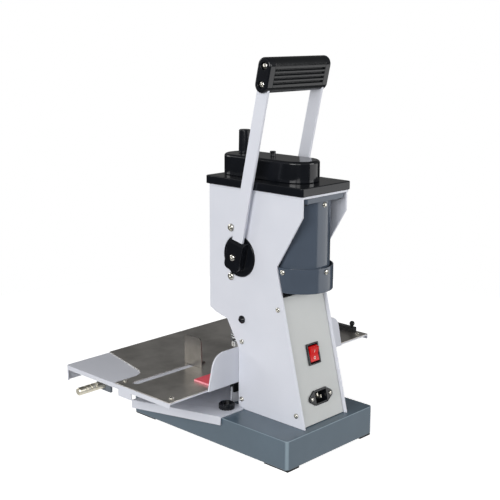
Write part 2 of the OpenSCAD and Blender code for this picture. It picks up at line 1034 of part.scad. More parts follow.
module motor_strap() {
    color("#525a6a")
        translate([0, motor_y, strap_z])
            difference() {
                linear_extrude(strap_h)
                    strap_2d(strap_r);
                translate([0, 0, strap_t])
                    linear_extrude(strap_h)
                        strap_2d(strap_r - strap_t);
                translate([0, 0, -cut])
                    box([-strap_r, -strap_r - strap_front, 0], [strap_r, -strap_front, strap_h + 2 * cut]);
                at_strap_screws()
                    translate([0, 0, -strap_t - cut])
                        cylinder(d = panel_screw_d + 2 * seat, h = strap_t + 2 * cut);
            }
}

// Screws of the strap at the motor's lower end, outwards along z
module at_strap_screws() {
    for (a = strap_screw_a)
        rotate([0, 0, a])
            translate([strap_r, 0, strap_screw_h])
                rotate([0, 90, 0])
                    children();
}

module motor_screws() {
    color("#3a3d42")
        at_flange_screws()
            translate([0, 0, -top_plate_t - motor_flange_t])
                mirror([0, 0, 1])
                    screw(panel_screw_d, motor_flange_t + top_plate_t);
}

module motor_rotor() {
    color("#8d9196")
        translate([0, motor_y, 0]) {
            translate([0, 0, rotor_z])
                cylinder(d = motor_shaft_d, h = belt_z + belt_w / 2 + pulley_flange_t - rotor_z);
            translate([0, 0, motor_bottom + can_floor + rotor_room])
                cylinder(r = rotor_r, h = motor_l - can_floor - can_roof - 2 * rotor_room);
        }
}

// Flanged pulley on z = 0 at its middle
module pulley(r, bore) {
    half = belt_w / 2 + gap;
    difference() {
        union() {
            translate([0, 0, -half])
                cylinder(r = r, h = 2 * half);
            for (z = [-half - pulley_flange_t, half])
                translate([0, 0, z])
                    cylinder(r = r + pulley_flange_r, h = pulley_flange_t);
        }
        translate([0, 0, -half - pulley_flange_t - cut])
            cylinder(r = bore, h = 2 * (half + pulley_flange_t + cut));
    }
}

module motor_pulley() {
    color("#a5a8ac")
        translate([0, motor_y, belt_z])
            pulley(motor_pulley_r, motor_shaft_d / 2 + seat);
}

module spindle_pulley() {
    sleeve_z = head_top - boss_h + boss_lip / 2;
    color("#a5a8ac") {
        difference() {
            union() {
                translate([0, 0, belt_z])
                    pulley(spindle_pulley_r, spindle_d / 2 + fit);
                translate([0, 0, sleeve_z])
                    cylinder(r = sleeve_r, h = belt_z - sleeve_z);
            }
            translate([0, 0, sleeve_z - cut])
                cylinder(r = spindle_d / 2 + fit, h = belt_cover_top - sleeve_z);
        }
        translate([-key_w / 2 + key_play, spindle_d / 2 - key_d + key_play, sleeve_z])
            cube([key_w - 2 * key_play, key_d + cut / 2, belt_z - sleeve_z]);
    }
}

module belt_2d(grow) {
    a = spindle_pulley_r + grow;
    b = motor_pulley_r + grow;
    lean = asin((a - b) / motor_y);
    circle(a);
    translate([0, motor_y])
        circle(b);
    polygon([
        [a * cos(lean), a * sin(lean)],
        [b * cos(lean), motor_y + b * sin(lean)],
        [-b * cos(lean), motor_y + b * sin(lean)],
        [-a * cos(lean), a * sin(lean)]]);
}

module drive_belt() {
    color("#24262a")
        translate([0, 0, belt_z - belt_w / 2])
            linear_extrude(belt_w)
                difference() {
                    belt_2d(gap + belt_t);
                    belt_2d(gap);
                }
}

// Switch and inlet, on the rear panel

module switch_body() {
    pocket = [rocker_w, rocker_l] / 2 + rocker_room;
    color("#1d1f23")
        on_rear(switch_s)
            difference() {
                union() {
                    box([-switch_w / 2, 0, -switch_h / 2], [switch_w / 2, bezel_t, switch_h / 2]);
                    box([-switch_body_w / 2, -switch_depth, -switch_body_h / 2],
                        [switch_body_w / 2, 0, switch_body_h / 2]);
                }
                box([-pocket[0], rocker_y - rocker_pocket, -pocket[1]],
                    [pocket[0], bezel_t + cut, pocket[1]]);
                translate([0, rocker_y, 0])
                    rotate([0, 90, 0])
                        cylinder(r = rocker_pin_r + fit, h = rocker_w + 2 * (rocker_pin_l + gap),
                            center = true);
            }
}

module switch_rocker() {
    color("#d8121e")
        on_rear(switch_s)
            translate([0, rocker_y, 0])
                rotate([-rocker_tilt, 0, 0]) {
                    yz(-rocker_w / 2, rocker_w)
                        polygon([
                            [-rocker_depth, rocker_taper - rocker_l / 2],
                            [rocker_shoulder, -rocker_l / 2],
                            [rocker_face, rocker_end - rocker_l / 2],
                            [rocker_face - rocker_dish, 0],
                            [rocker_face, rocker_l / 2 - rocker_end],
                            [rocker_shoulder, rocker_l / 2],
                            [-rocker_depth, rocker_l / 2 - rocker_taper]]);
                    rotate([0, 90, 0])
                        cylinder(r = rocker_pin_r, h = rocker_w + 2 * rocker_pin_l, center = true);
                }
}

module inlet_2d() {
    hull() {
        round_rect(inlet_body_w + inlet_rim, inlet_h, inlet_corner);
        for (side = [-1, 1])
            translate([side * inlet_pitch / 2, 0])
                circle(d = inlet_ear_d);
    }
}

module inlet_body() {
    color("#1d1f23")
        on_rear(inlet_s)
            difference() {
                union() {
                    rotate([90, 0, 0])
                        translate([0, 0, -inlet_flange_t])
                            linear_extrude(inlet_flange_t)
                                inlet_2d();
                    box([-inlet_body_w / 2, -inlet_depth, -inlet_body_h / 2],
                        [inlet_body_w / 2, 0, inlet_body_h / 2]);
                }
                box([-socket_w / 2, inlet_flange_t - socket_depth, -socket_h / 2],
                    [socket_w / 2, inlet_flange_t + cut, socket_h / 2]);
                both_sides()
                    translate([inlet_pitch / 2, -cut, 0])
                        rotate([-90, 0, 0])
                            cylinder(d = inlet_screw_d + 2 * seat, h = inlet_flange_t + 2 * cut);
            }
}

module inlet_pins() {
    color("#d2cfc4")
        on_rear(inlet_s)
            for (k = [-1 : 1])
                let (z = k == 0 ? pin_rise : -pin_rise)
                    translate([k * pin_pitch, inlet_flange_t - socket_depth + pin_l / 2, z])
                        cube([pin_w, pin_l, pin_h], center = true);
}

// Coil of round wire along +z, from one straight end to the other

function coil_point(r, turns, rise, k) =
    let (a = 360 * turns * k)
    [r * cos(a), r * sin(a), rise * k];

function coil_path(r, wire, turns, rise) =
    let (n = coil_rings * turns, end = coil_point(r, turns, rise, 1))
    concat(
        [[r, -wire, 0]],
        [for (k = [0 : n]) coil_point(r, turns, rise, k / n)],
        [[end[0] - wire * sin(360 * turns), end[1] + wire * cos(360 * turns), end[2]]]);

// Least gap between curls, measured on the path's points
function coil_gap(path, wire) =
    let (last = len(path) - 1, apart = coil_rings - 2)
    min([for (i = [0 : last - apart], j = [i + apart : 1 : last]) norm(path[i] - path[j])]) - wire;

module coil(r, wire, turns, rise) {
    sides = 6;
    path = coil_path(r, wire, turns, rise);
    count = len(path);
    last = count - 1;
    rings = [for (i = [0 : last])
        let (
            t = path[min(i + 1, last)] - path[max(i - 1, 0)],
            along = t / norm(t),
            out = [path[i][0], path[i][1], 0] / norm([path[i][0], path[i][1]]),
            up_raw = cross(along, out),
            up = up_raw / norm(up_raw),
            side = cross(up, along))
        for (k = [0 : sides - 1])
            path[i] + wire / 2 * (cos(360 * k / sides) * side + sin(360 * k / sides) * up)];
    walls = [for (i = [0 : last - 1], k = [0 : sides - 1])
        let (a = i * sides + k, b = i * sides + (k + 1) % sides)
        each [[a, a + sides, b], [b, a + sides, b + sides]]];
    caps = concat(
        [for (k = [1 : sides - 2]) [0, k, k + 1]],
        [for (k = [1 : sides - 2]) [last * sides, last * sides + k + 1, last * sides + k]]);
    echo(least_gap = coil_gap(path, wire));
    polyhedron(points = rings, faces = concat(walls, caps));
}

module return_spring() {
    color("#8d9196")
        translate([pinion_w / 2 + return_gap + return_wire, pivot_y, pivot_z])
            rotate([0, 90, 0])
                coil(return_r, return_wire, return_turns, return_l);
}

module pressure_spring() {
    color("#c4c6c8")
        translate([0, 0, spring_bottom + spring_wire / 2 + gap])
            coil(spring_mean_r, spring_wire, spring_turns, spring_l - spring_wire - 2 * gap);
}

// Quill, spindle and pressure foot

module rack_gap() {
    root = rack_y - dedendum;
    tip = quill_d / 2 + cut;
    function half(y) = rack_pitch / 4 + backlash / 2 + (y - rack_y) * tan(pressure_angle);
    polygon([[root, -half(root)], [tip, -half(tip)], [tip, half(tip)], [root, half(root)]]);
}

module quill() {
    color("#aeb2b6")
        difference() {
            translate([0, 0, quill_bottom]) {
                cylinder(d = quill_d, h = quill_l, $fn = 96);
                cylinder(d = foot_d, h = spring_seat, $fn = 96);
            }
            translate([0, 0, quill_bottom - cut])
                cylinder(r = sleeve_d / 2 + fit, h = sleeve_bore_h + cut);
            translate([0, 0, low_bearing_z - bearing_lip])
                cylinder(r = bearing_d / 2 + seat, h = bearing_w + bearing_lip);
            translate([0, 0, low_bearing_z])
                cylinder(r = quill_core_r, h = quill_l);
            translate([0, 0, top_bearing_z])
                cylinder(r = bearing_d / 2 + seat, h = quill_l);
            for (k = [-rack_spare : rack_last])
                translate([0, 0, pivot_z + k * rack_pitch])
                    yz(-pinion_w / 2 - gear_room, pinion_w + 2 * gear_room)
                        rack_gap();
        }
}

module spindle_bearings() {
    color("#b9bcc0")
        for (z = [low_bearing_z, top_bearing_z])
            translate([0, 0, z])
                ring(bearing_d / 2, spindle_d / 2 + fit, bearing_w);
}

module spindle() {
    color("#c4c6c8") {
        difference() {
            translate([0, 0, spindle_bottom])
                cylinder(d = spindle_d, h = spindle_top - spindle_bottom);
            translate([-key_w / 2, spindle_d / 2 - key_d, quill_top + key_start])
                cube([key_w, spindle_d, spindle_top]);
        }
        for (z = [low_bearing_z + bearing_w + gap, top_bearing_z - collar_w - gap])
            translate([0, 0, z])
                cylinder(r = quill_core_r - collar_gap, h = collar_w);
    }
}

module drill_chuck() {
    color("#8d9196")
        difference() {
            union() {
                translate([0, 0, chuck_bottom + chuck_nose])
                    cylinder(r = chuck_r, h = chuck_top - chuck_bottom - chuck_nose);
                translate([0, 0, chuck_bottom])
                    cylinder(r1 = chuck_r - chuck_taper, r2 = chuck_r, h = chuck_nose);
            }
            translate([0, 0, spindle_bottom])
                cylinder(d = spindle_d + 2 * seat, h = chuck_top);
            translate([0, 0, chuck_bottom - cut])
                cylinder(d = drill_d + 2 * seat, h = drill_grip + cut);
        }
}

module drill_bit() {
    color("#d8dadc")
        difference() {
            translate([0, 0, press_z + drill_lift])
                cylinder(d = drill_d, h = chuck_bottom + drill_grip - press_z - drill_lift);
            translate([0, 0, press_z - cut])
                cylinder(d = drill_d - 2 * drill_wall, h = 2 * quill_l);
        }
}

module pressure_foot() {
    color("#d0d2d4")
        difference() {
            translate([0, 0, press_z]) {
                cylinder(d1 = foot_d - 2 * foot_edge, d2 = foot_d, h = foot_edge);
                translate([0, 0, foot_edge])
                    cylinder(d = foot_d, h = foot_ring_h - foot_edge);
                cylinder(d = sleeve_d, h = sleeve_top - press_z);
            }
            translate([0, 0, press_z - cut])
                cylinder(d = drill_d + 2 * drill_room, h = foot_ring_h);
            translate([0, 0, press_z + foot_sole])
                cylinder(r = chuck_r + drill_room, h = quill_l);
        }
}

// Lever

function direction(a) = [cos(a), sin(a)];

function involute(a) = tan(a) * 180 / PI - a;

function tooth_half_angle(r) =
    90 / pinion_teeth - backlash / 2 / pitch_r * 180 / PI + involute(pressure_angle)
        - involute(acos(pitch_r * cos(pressure_angle) / r));

module pinion_2d() {
    base_r = pitch_r * cos(pressure_angle);
    tip_r = pitch_r + gear_module;
    root_r = pitch_r - dedendum;
    steps = 5;
    radii = [for (k = [0 : steps]) base_r + (tip_r - base_r) * k / steps];
    root_half = tooth_half_angle(base_r);
    polygon([for (t = [0 : pinion_teeth - 1])
        let (mid = 180 + 360 * t / pinion_teeth)
        each concat(
            [root_r * direction(mid - root_half)],
            [for (r = radii) r * direction(mid - tooth_half_angle(r))],
            [for (k = [steps : -1 : 0]) radii[k] * direction(mid + tooth_half_angle(radii[k]))],
            [root_r * direction(mid + root_half)])]);
}

module lever_pinion() {
    color("#8d9196")
        translate([0, pivot_y, pivot_z])
            difference() {
                yz(-pinion_w / 2, pinion_w)
                    pinion_2d();
                rotate([0, 90, 0])
                    cylinder(d = shaft_d + 2 * seat, h = pinion_w + 2 * cut, center = true);
            }
}

module lever_shaft() {
    color("#b4b8bc")
        on_lever()
            rotate([0, 90, 0])
                cylinder(d = shaft_d, h = 2 * (arm_x + arm_t), center = true);
}

module hub_block_2d() {
    intersection() {
        circle(d = hub_d, $fn = 96);
        hull() {
            translate([-hub_block_w / 2, 0])
                square([hub_block_w, hub_block_top]);
            for (side = [-1, 1])
                translate([side * (hub_block_w / 2 - hub_corner), hub_corner - hub_block_low])
                    circle(r = hub_corner);
        }
    }
}

module lever_hubs() {
    color("#15171c")
        both_sides()
            on_lever()
                difference() {
                    union() {
                        translate([hub_in, 0, 0])
                            rotate([0, 90, 0])
                                cylinder(d = hub_d, h = hub_face - hub_in, $fn = 96);
                        yz(hub_face, hub_out - hub_face)
                            hub_block_2d();
                    }
                    translate([hub_in - cut, 0, 0])
                        rotate([0, 90, 0])
                            cylinder(d = shaft_d + 2 * seat, h = arm_x + arm_t - hub_in + cut);
                    box([arm_x, -arm_w / 2 - seat, -arm_low - seat],
                        [arm_x + arm_t + seat, arm_w / 2 + seat, hub_d]);
                    translate([hub_out, 0, hub_block_top])
                        rotate([0, 45, 0])
                            cube([hub_chamfer, hub_d, hub_chamfer], center = true);
                    rotate([0, 90, 0])
                        cylinder(d = hub_screw_d + 2 * seat, h = hub_out + cut);
                }
}

module lever_arms() {
    color("#d3d6e0")
        both_sides()
            on_lever()
                difference() {
                    box([arm_x, -arm_w / 2, -arm_low], [arm_x + arm_t, arm_w / 2, arm_top]);
                    rotate([0, 90, 0])
                        cylinder(d = shaft_d + 2 * seat, h = 2 * arm_x);
                    for (s = [-1, 1])
                        translate([0, 0, grip_r + s * grip_screw])
                            rotate([0, 90, 0])
                                cylinder(d = hub_screw_d + 2 * seat, h = 2 * arm_x);
                }
}

module grip_2d(inset) {
    r = grip_t / 2 - inset;
    straight = grip_h / 2 - grip_t / 2;
    for (s = [-1, 1])
        translate([0, s * straight])
            circle(r);
    square([2 * r, 2 * straight], center = true);
}

module lever_grip() {
    color("#1b1d20")
        on_lever()
            translate([0, 0, grip_r])
                difference() {
                    yz(-cap_in, 2 * cap_in)
                        grip_2d(0);
                    for (k = [0 : groove_count - 1])
                        translate([0, grip_t / 2, (k - (groove_count - 1) / 2) * groove_pitch])
                            cube([2 * (cap_in - groove_end), 2 * groove_d, groove_pitch / 2], center = true);
                    both_sides()
                        for (s = [-1, 1])
                            translate([cap_in - grip_screw_in, 0, s * grip_screw])
                                rotate([0, 90, 0])
                                    cylinder(d = hub_screw_d + 2 * seat, h = grip_screw_in + cut);
                }
}

module grip_end_caps() {
    color("#15171c")
        both_sides()
            on_lever()
                difference() {
                    translate([0, 0, grip_r]) {
                        yz(cap_in, cap_l - cap_edge)
                            grip_2d(0);
                        yz(grip_end - cap_edge, cap_edge)
                            grip_2d(cap_edge);
                    }
                    box([arm_x - seat, -arm_w / 2 - seat, 0],
                        [arm_x + arm_t + seat, arm_w / 2 + seat, arm_top + seat]);
                    for (s = [-1, 1])
                        translate([cap_in - cut, 0, grip_r + s * grip_screw])
                            rotate([0, 90, 0]) {
                                cylinder(d = hub_screw_d + 2 * seat, h = cap_l + 2 * cut);
                                translate([0, 0, cap_l + cut - cap_sink])
                                    cylinder(d = cap_sink_d, h = cap_sink + cut);
                            }
                }
}

module lever_screws() {
    color("#c9c9c4")
        both_sides()
            on_lever() {
                translate([hub_out, 0, 0])
                    rotate([0, 90, 0])
                        screw(hub_screw_d, hub_out - arm_x - arm_t - seat);
                for (s = [-1, 1])
                    translate([grip_end - cap_sink, 0, grip_r + s * grip_screw])
                        rotate([0, 90, 0])
                            screw(hub_screw_d, cap_l - cap_sink + grip_screw_in - gap);
            }
}

// Carriage

module carriage_plate() {
    a = [carriage_rear_x, carriage_rear];
    b = [carriage_front_x, -carriage_front];
    along = (b - a) / norm(b - a);
    inward = carriage_t * [along[1], -along[0]];
    tongue = [[tongue_x, -carriage_front], [tongue_x, -tongue_front]];
    right = concat([[plate_x + carriage_play, carriage_rear], a, b], tongue);
    left = [for (k = [len(right) - 1 : -1 : 0]) [-right[k][0], right[k][1]]];
    notch = [for (s = [-1, 1]) [s * (plate_x + carriage_play), column_front - column_play]];
    color("#c9ccd6")
        difference() {
            union() {
                translate([0, 0, carriage_z])
                    linear_extrude(carriage_t)
                        polygon(concat(right, left, notch));
                both_sides()
                    translate([0, 0, carriage_top - carriage_flange])
                        linear_extrude(carriage_flange)
                            polygon([a, b, b + inward, a + inward]);
                box([-upright_x, upright_y, carriage_z],
                    [upright_x, upright_y + carriage_t, carriage_top + upright_h]);
            }
            both_sides()
                translate([knob_x, knob_y, carriage_z - cut])
                    cylinder(d = stud_d + 2 * seat, h = carriage_t + 2 * cut);
            box([-upright_x, upright_y + carriage_t, carriage_z - cut],
                [upright_x, column_front, carriage_top + cut]);
        }
}

module lock_studs() {
    nut_top = base_top - base_wall - gap;
    color("#b4b8bc")
        both_sides()
            translate([knob_x, knob_y, 0]) {
                translate([0, 0, nut_top - stud_d])
                    cylinder(d = stud_d, h = carriage_top + knob_h - stud_set - nut_top + stud_d);
                translate([0, 0, nut_top - stud_d + stud_tail])
                    cylinder(d = 2 * stud_d, h = stud_d - stud_tail, $fn = 6);
            }
}

// Knob with a scalloped rim, a dished top and a bore for its stud
module lock_knob() {
    color("#15171c")
        translate([knob_x, knob_y, carriage_top + gap])
            difference() {
                union() {
                    cylinder(d = knob_d, h = knob_h - knob_rim);
                    translate([0, 0, knob_h - knob_rim])
                        cylinder(d1 = knob_d, d2 = knob_d - 2 * knob_rim, h = knob_rim);
                }
                for (k = [0 : scallops - 1])
                    rotate([0, 0, 360 * k / scallops])
                        translate([knob_d / 2 + scallop_r / 3, 0, -cut])
                            cylinder(r = scallop_r, h = knob_h + 2 * cut, $fn = 16);
                translate([0, 0, knob_h - knob_dish])
                    cylinder(d = knob_d - 2 * knob_wall, h = knob_dish + cut);
                translate([0, 0, -cut])
                    cylinder(d = stud_d + 2 * fit, h = knob_h);
            }
}

module right_lock_knob() {
    lock_knob();
}

module left_lock_knob() {
    mirror([1, 0, 0])
        lock_knob();
}

module guide_rod() {
    color("#c2bda6")
        translate([rod_x - rod_half, -rod_front, rod_z])
            rotate([0, 90, 0])
                difference() {
                    union() {
                        cylinder(d = rod_d, h = 2 * rod_half - rod_end);
                        translate([0, 0, 2 * rod_half - rod_end])
                            cylinder(d1 = rod_d, d2 = rod_d - 2 * rod_end, h = rod_end);
                    }
                    for (k = [0 : rod_rings - 1])
                        translate([0, 0, 2 * rod_half - ring_start - ring_pitch * k])
                            ring(rod_d, rod_d / 2 - ring_w / 2, ring_w);
                }
}

module rod_block() {
    color("#6f757c")
        difference() {
            box([-block_w / 2, -rod_front - block_l / 2, carriage_top],
                [block_w / 2, block_l / 2 - rod_front, rod_z + rod_d / 2 + block_roof]);
            translate([-block_w / 2 - cut, -rod_front, rod_z])
                rotate([0, 90, 0])
                    cylinder(d = rod_d + 2 * seat, h = block_w + 2 * cut);
        }
}

module slide_pads() {
    low = carriage_top + upright_h - slide_lap;
    color("#e6e4dc")
        both_sides()
            difference() {
                box([upright_x - slide_w - slide_end, upright_y - slide_wall, low],
                    [upright_x - slide_end, upright_y + carriage_t + slide_wall, tray_bottom - gap]);
                box([0, upright_y - seat, 0],
                    [plate_x, upright_y + carriage_t + seat, carriage_top + upright_h + seat]);
            }
}

// Table

// Outline with its corners rounded by arcs of the given radii
function unit(v) = v / norm(v);
function arc_points(c, u, v, r) =
    let (
        half = acos(u * v) / 2,
        mid = c + unit(u + v) * r / sin(half),
        from = unit(c + u * r / tan(half) - mid),
        to = unit(c + v * r / tan(half) - mid),
        sweep = 180 - 2 * half,
        steps = 8)
    [for (k = [0 : steps])
        mid + r * (sin(sweep * (1 - k / steps)) * from + sin(sweep * k / steps) * to) / sin(sweep)];
function round_outline(points, radii) =
    [for (i = [0 : len(points) - 1])
        let (
            n = len(points),
            c = points[i],
            u = unit(points[(i + n - 1) % n] - c),
            v = unit(points[(i + 1) % n] - c))
        each (radii[i] > 0 ? arc_points(c, u, v, radii[i]) : [c])];

module at_table() {
    translate([table_x, 0, 0])
        children();
}

module at_table_screws() {
    at_table()
        for (x = [-1, 1], y = table_screw_y)
            translate([x * table_screw_x, y, table_top])
                children();
}

module table_screw_holes() {
    at_table_screws()
        translate([0, 0, tray_bottom - table_top - cut])
            cylinder(d = panel_screw_d + 2 * seat, h = table_plate_t + tray_t + 2 * cut);
}

module tray_2d(inset) {
    r = tray_corner - inset;
    hull()
        both_sides()
            translate([table_half - tray_corner, table_front + tray_corner]) {
                circle(r);
                square([r, table_rear - table_front - tray_corner + 2 * inset]);
            }
}

module tray_rim(depth) {
    translate([0, 0, tray_top - depth])
        linear_extrude(depth - tray_t)
            difference() {
                tray_2d(0);
                tray_2d(tray_t);
            }
}

module table_tray() {
    half = table_half;
    color("#c9ccd6")
        difference() {
            at_table() {
                translate([0, 0, tray_bottom])
                    linear_extrude(tray_t)
                        tray_2d(0);
                tray_rim(tray_side);
                intersection() {
                    tray_rim(tray_front);
                    box([-half, table_front, 0], [half, table_front + tray_corner, table_top]);
                }
                box([half - tray_t, slot_y - tab_l[0], tray_top - tab_drop],
                    [half, slot_y + tab_l[1], tray_bottom]);
            }
            table_screw_holes();
        }
}

// Corner of the tray that the plate leaves bare
module corner_pad_2d() {
    out = table_half + cut;
    front = table_front - cut;
    lean = (pad_side[0] - pad_side[1]) / (band_front - table_front);
    outline = [[pad_side[0], band_front], [out, band_front], [out, front], [pad_side[1] - lean * cut, front]];
    polygon(round_outline(outline, [pad_corner_r, 0, 0, 0]));
}

module table_plate() {
    half = table_half - plate_inset;
    color("#5a5750")
        difference() {
            translate([0, 0, tray_top])
                linear_extrude(table_plate_t)
                    difference() {
                        translate([table_x - half, table_front + plate_inset])
                            square([2 * half, table_l - plate_inset]);
                        at_table() {
                            corner_pad_2d();
                            mirror([1, 0])
                                corner_pad_2d();
                        }
                        translate([slot_x[0] + slot_w / 2, slot_y])
                            rotate(-90)
                                slot_2d(slot_w, slot_x[1] - slot_x[0] - slot_w, 1);
                    }
            table_screw_holes();
        }
}

module table_screws() {
    color("#c9c9c4")
        at_table_screws()
            screw(panel_screw_d, table_plate_t + tray_t);
}

module back_fence() {
    half = fence_w / 2;
    top = table_top + fence_h;
    right = [[half, tray_bottom], [half - fence_slant, top]];
    outline = concat(right, [[fence_slant - half, top], [-half, tray_bottom]]);
    color("#c9ccd6")
        at_table()
            translate([0, fence_y, 0])
                rotate([90, 0, 0])
                    linear_extrude(fence_t)
                        polygon(round_outline(outline, [0, fence_corner_r, fence_corner_r, 0]));
}

module drill_pad() {
    color("#c83c4b")
        at_table()
            box([-pad_w / 2, table_rear - pad_gap - pad_l, table_top],
                [pad_w / 2, table_rear - pad_gap, table_top + pad_t]);
}

module rod_hangers() {
    color("#6f757c")
        for (x = hanger_x)
            difference() {
                box([x - hanger_t / 2, -rod_front - hanger_l / 2, rod_z - rod_d / 2 - hanger_drop],
                    [x + hanger_t / 2, hanger_l / 2 - rod_front, tray_bottom]);
                translate([x - hanger_t, -rod_front, rod_z])
                    rotate([0, 90, 0])
                        cylinder(d = rod_d + 2 * fit, h = 2 * hanger_t);
            }
}

module stop_bar() {
    neck_top = table_top + stop_h + stop_neck;
    color("#15171c")
        at_table() {
            box([-stop_x - stop_w / 2, stop_y[0], table_top],
                [stop_w / 2 - stop_x, stop_y[1], table_top + stop_h]);
            translate([-stop_x, stop_knob_y, neck_top - stop_neck])
                cylinder(d = stop_neck_d, h = stop_neck);
            translate([-stop_x, stop_knob_y, neck_top + stop_ball_d / 3])
                sphere(d = stop_ball_d);
        }
}

module side_guide() {
    low = table_top + gap;
    top = table_top + guide_h;
    front = guide_y - guide_l / 2;
    rear = guide_y + guide_l / 2;
    out = guide_x + guide_t;
    color("#8f8d88") {
        yz(guide_x, guide_t)
            polygon(round_outline(
                [[front, low], [rear, low], [rear - guide_slant, top], [front, top]],
                [0, 0, guide_corner, guide_corner]));
        box([guide_x - guide_foot, slot_y - guide_foot_w / 2, low],
            [out, slot_y + guide_foot_w / 2, low + guide_t]);
        box([guide_x - guide_tongue, slot_y - slot_w / 2 + gap, tray_top + gap],
            [out, slot_y + slot_w / 2 - gap, low + guide_t / 2]);
    }
}

// Moves a sub-part to the part's own frame
module place() {
    translate(-origin)
        children();
}

place() base_pan();
place() base_plate();
place() base_feet();
place() right_side_plate();
place() left_side_plate();
place() rear_panel();
place() front_panel();
place() nose_panel();
place() panel_screws();
place() hole_plugs();
place() head_casting();
place() casting_bolts();
place() shaft_bushes();
place() return_spring();
place() top_plate();
place() top_cover();
place() belt_cover();
place() spindle_cap();
place() motor_can();
place() motor_strap();
place() motor_screws();
place() drive_belt();
place() pulley_bearings();
place() switch_body();
place() inlet_body();
place() inlet_pins();
place() quill();
place() spindle_bearings();
place() pressure_spring();
place() spindle();
place() drill_chuck();
place() drill_bit();
place() pressure_foot();
place() spindle_pulley();
place() motor_rotor();
place() motor_pulley();
place() lever_shaft();
place() lever_pinion();
place() lever_hubs();
place() lever_arms();
place() lever_grip();
place() grip_end_caps();
place() lever_screws();
place() switch_rocker();
place() belt_cover_nut();
place() carriage_plate();
place() lock_studs();
place() guide_rod();
place() rod_block();
place() slide_pads();
place() right_lock_knob();
place() left_lock_knob();
place() table_tray();
place() table_plate();
place() back_fence();
place() drill_pad();
place() rod_hangers();
place() table_screws();
place() stop_bar();
place() side_guide();
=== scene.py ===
import json
import math

import bpy
import numpy as np
from mathutils import Matrix, Vector

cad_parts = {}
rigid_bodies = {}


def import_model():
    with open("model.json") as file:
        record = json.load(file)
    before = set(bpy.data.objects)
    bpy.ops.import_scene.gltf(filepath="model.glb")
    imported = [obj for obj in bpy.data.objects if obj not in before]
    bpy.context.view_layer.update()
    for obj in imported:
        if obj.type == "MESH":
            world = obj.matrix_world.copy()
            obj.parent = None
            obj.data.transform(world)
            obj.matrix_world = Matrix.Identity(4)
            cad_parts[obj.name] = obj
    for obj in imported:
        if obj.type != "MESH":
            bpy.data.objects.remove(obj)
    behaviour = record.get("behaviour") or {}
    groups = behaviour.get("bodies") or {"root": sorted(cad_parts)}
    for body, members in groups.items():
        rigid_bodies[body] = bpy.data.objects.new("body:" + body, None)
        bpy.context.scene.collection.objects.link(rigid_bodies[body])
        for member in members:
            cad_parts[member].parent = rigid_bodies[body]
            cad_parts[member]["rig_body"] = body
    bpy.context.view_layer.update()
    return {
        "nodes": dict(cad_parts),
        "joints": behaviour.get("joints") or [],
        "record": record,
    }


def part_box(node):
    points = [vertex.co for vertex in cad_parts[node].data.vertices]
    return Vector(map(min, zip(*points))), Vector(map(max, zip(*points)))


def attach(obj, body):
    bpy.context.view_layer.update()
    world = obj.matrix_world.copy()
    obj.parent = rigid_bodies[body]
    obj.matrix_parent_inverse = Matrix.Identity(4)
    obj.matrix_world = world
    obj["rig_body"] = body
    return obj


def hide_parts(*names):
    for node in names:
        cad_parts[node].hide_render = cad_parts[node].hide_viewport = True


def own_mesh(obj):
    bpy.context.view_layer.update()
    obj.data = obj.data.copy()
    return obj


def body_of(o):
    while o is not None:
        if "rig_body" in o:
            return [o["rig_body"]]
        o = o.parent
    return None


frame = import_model()
nodes = frame["nodes"]
slotOf = {part["node"]: part["material_slot"] for part in frame["record"]["subparts"]}
mm = 0.001


def linear(hexColour):
    channels = [int(hexColour[i:i + 2], 16) / 255 for i in (1, 3, 5)]
    return [c / 12.92 if c <= 0.04045 else ((c + 0.055) / 1.055) ** 2.4 for c in channels] + [1.0]


def addNode(tree, kind, settings=None, values=None, links=None):
    node = tree.nodes.new(kind)
    for name, value in (settings or {}).items():
        setattr(node, name, value)
    for socket, value in (values or {}).items():
        node.inputs[socket].default_value = value
    for socket, source in (links or {}).items():
        tree.links.new(source, node.inputs[socket])
    return node


finishes = {}  # material slot of the record -> finish


def startFinish(slotName, title, values):
    finish = bpy.data.materials.new(title)
    finish.use_nodes = True
    tree = finish.node_tree
    tree.nodes.clear()
    shader = addNode(tree, "ShaderNodeBsdfPrincipled", values=values)
    addNode(tree, "ShaderNodeOutputMaterial", links={"Surface": shader.outputs["BSDF"]})
    place = addNode(tree, "ShaderNodeTexCoord").outputs["Object"]
    finishes[slotName] = finish
    return tree, shader, place


def layFinish(tree, shader, look, tone, gloss, relief, strength=0.5):
    tint = addNode(tree, "ShaderNodeMix", {"data_type": "RGBA"},
                   {6: linear(look["dark"]), 7: linear(look["light"])}, {0: tone})
    sheen = addNode(tree, "ShaderNodeMapRange", values={"To Min": look["rough"][0], "To Max": look["rough"][1]},
                    links={"Value": gloss})
    bump = addNode(tree, "ShaderNodeBump", values={"Strength": strength, "Distance": look["depth"] * mm},
                   links={"Height": relief})
    tree.links.new(tint.outputs[2], shader.inputs["Base Color"])
    tree.links.new(sheen.outputs["Result"], shader.inputs["Roughness"])
    tree.links.new(bump.outputs["Normal"], shader.inputs["Normal"])


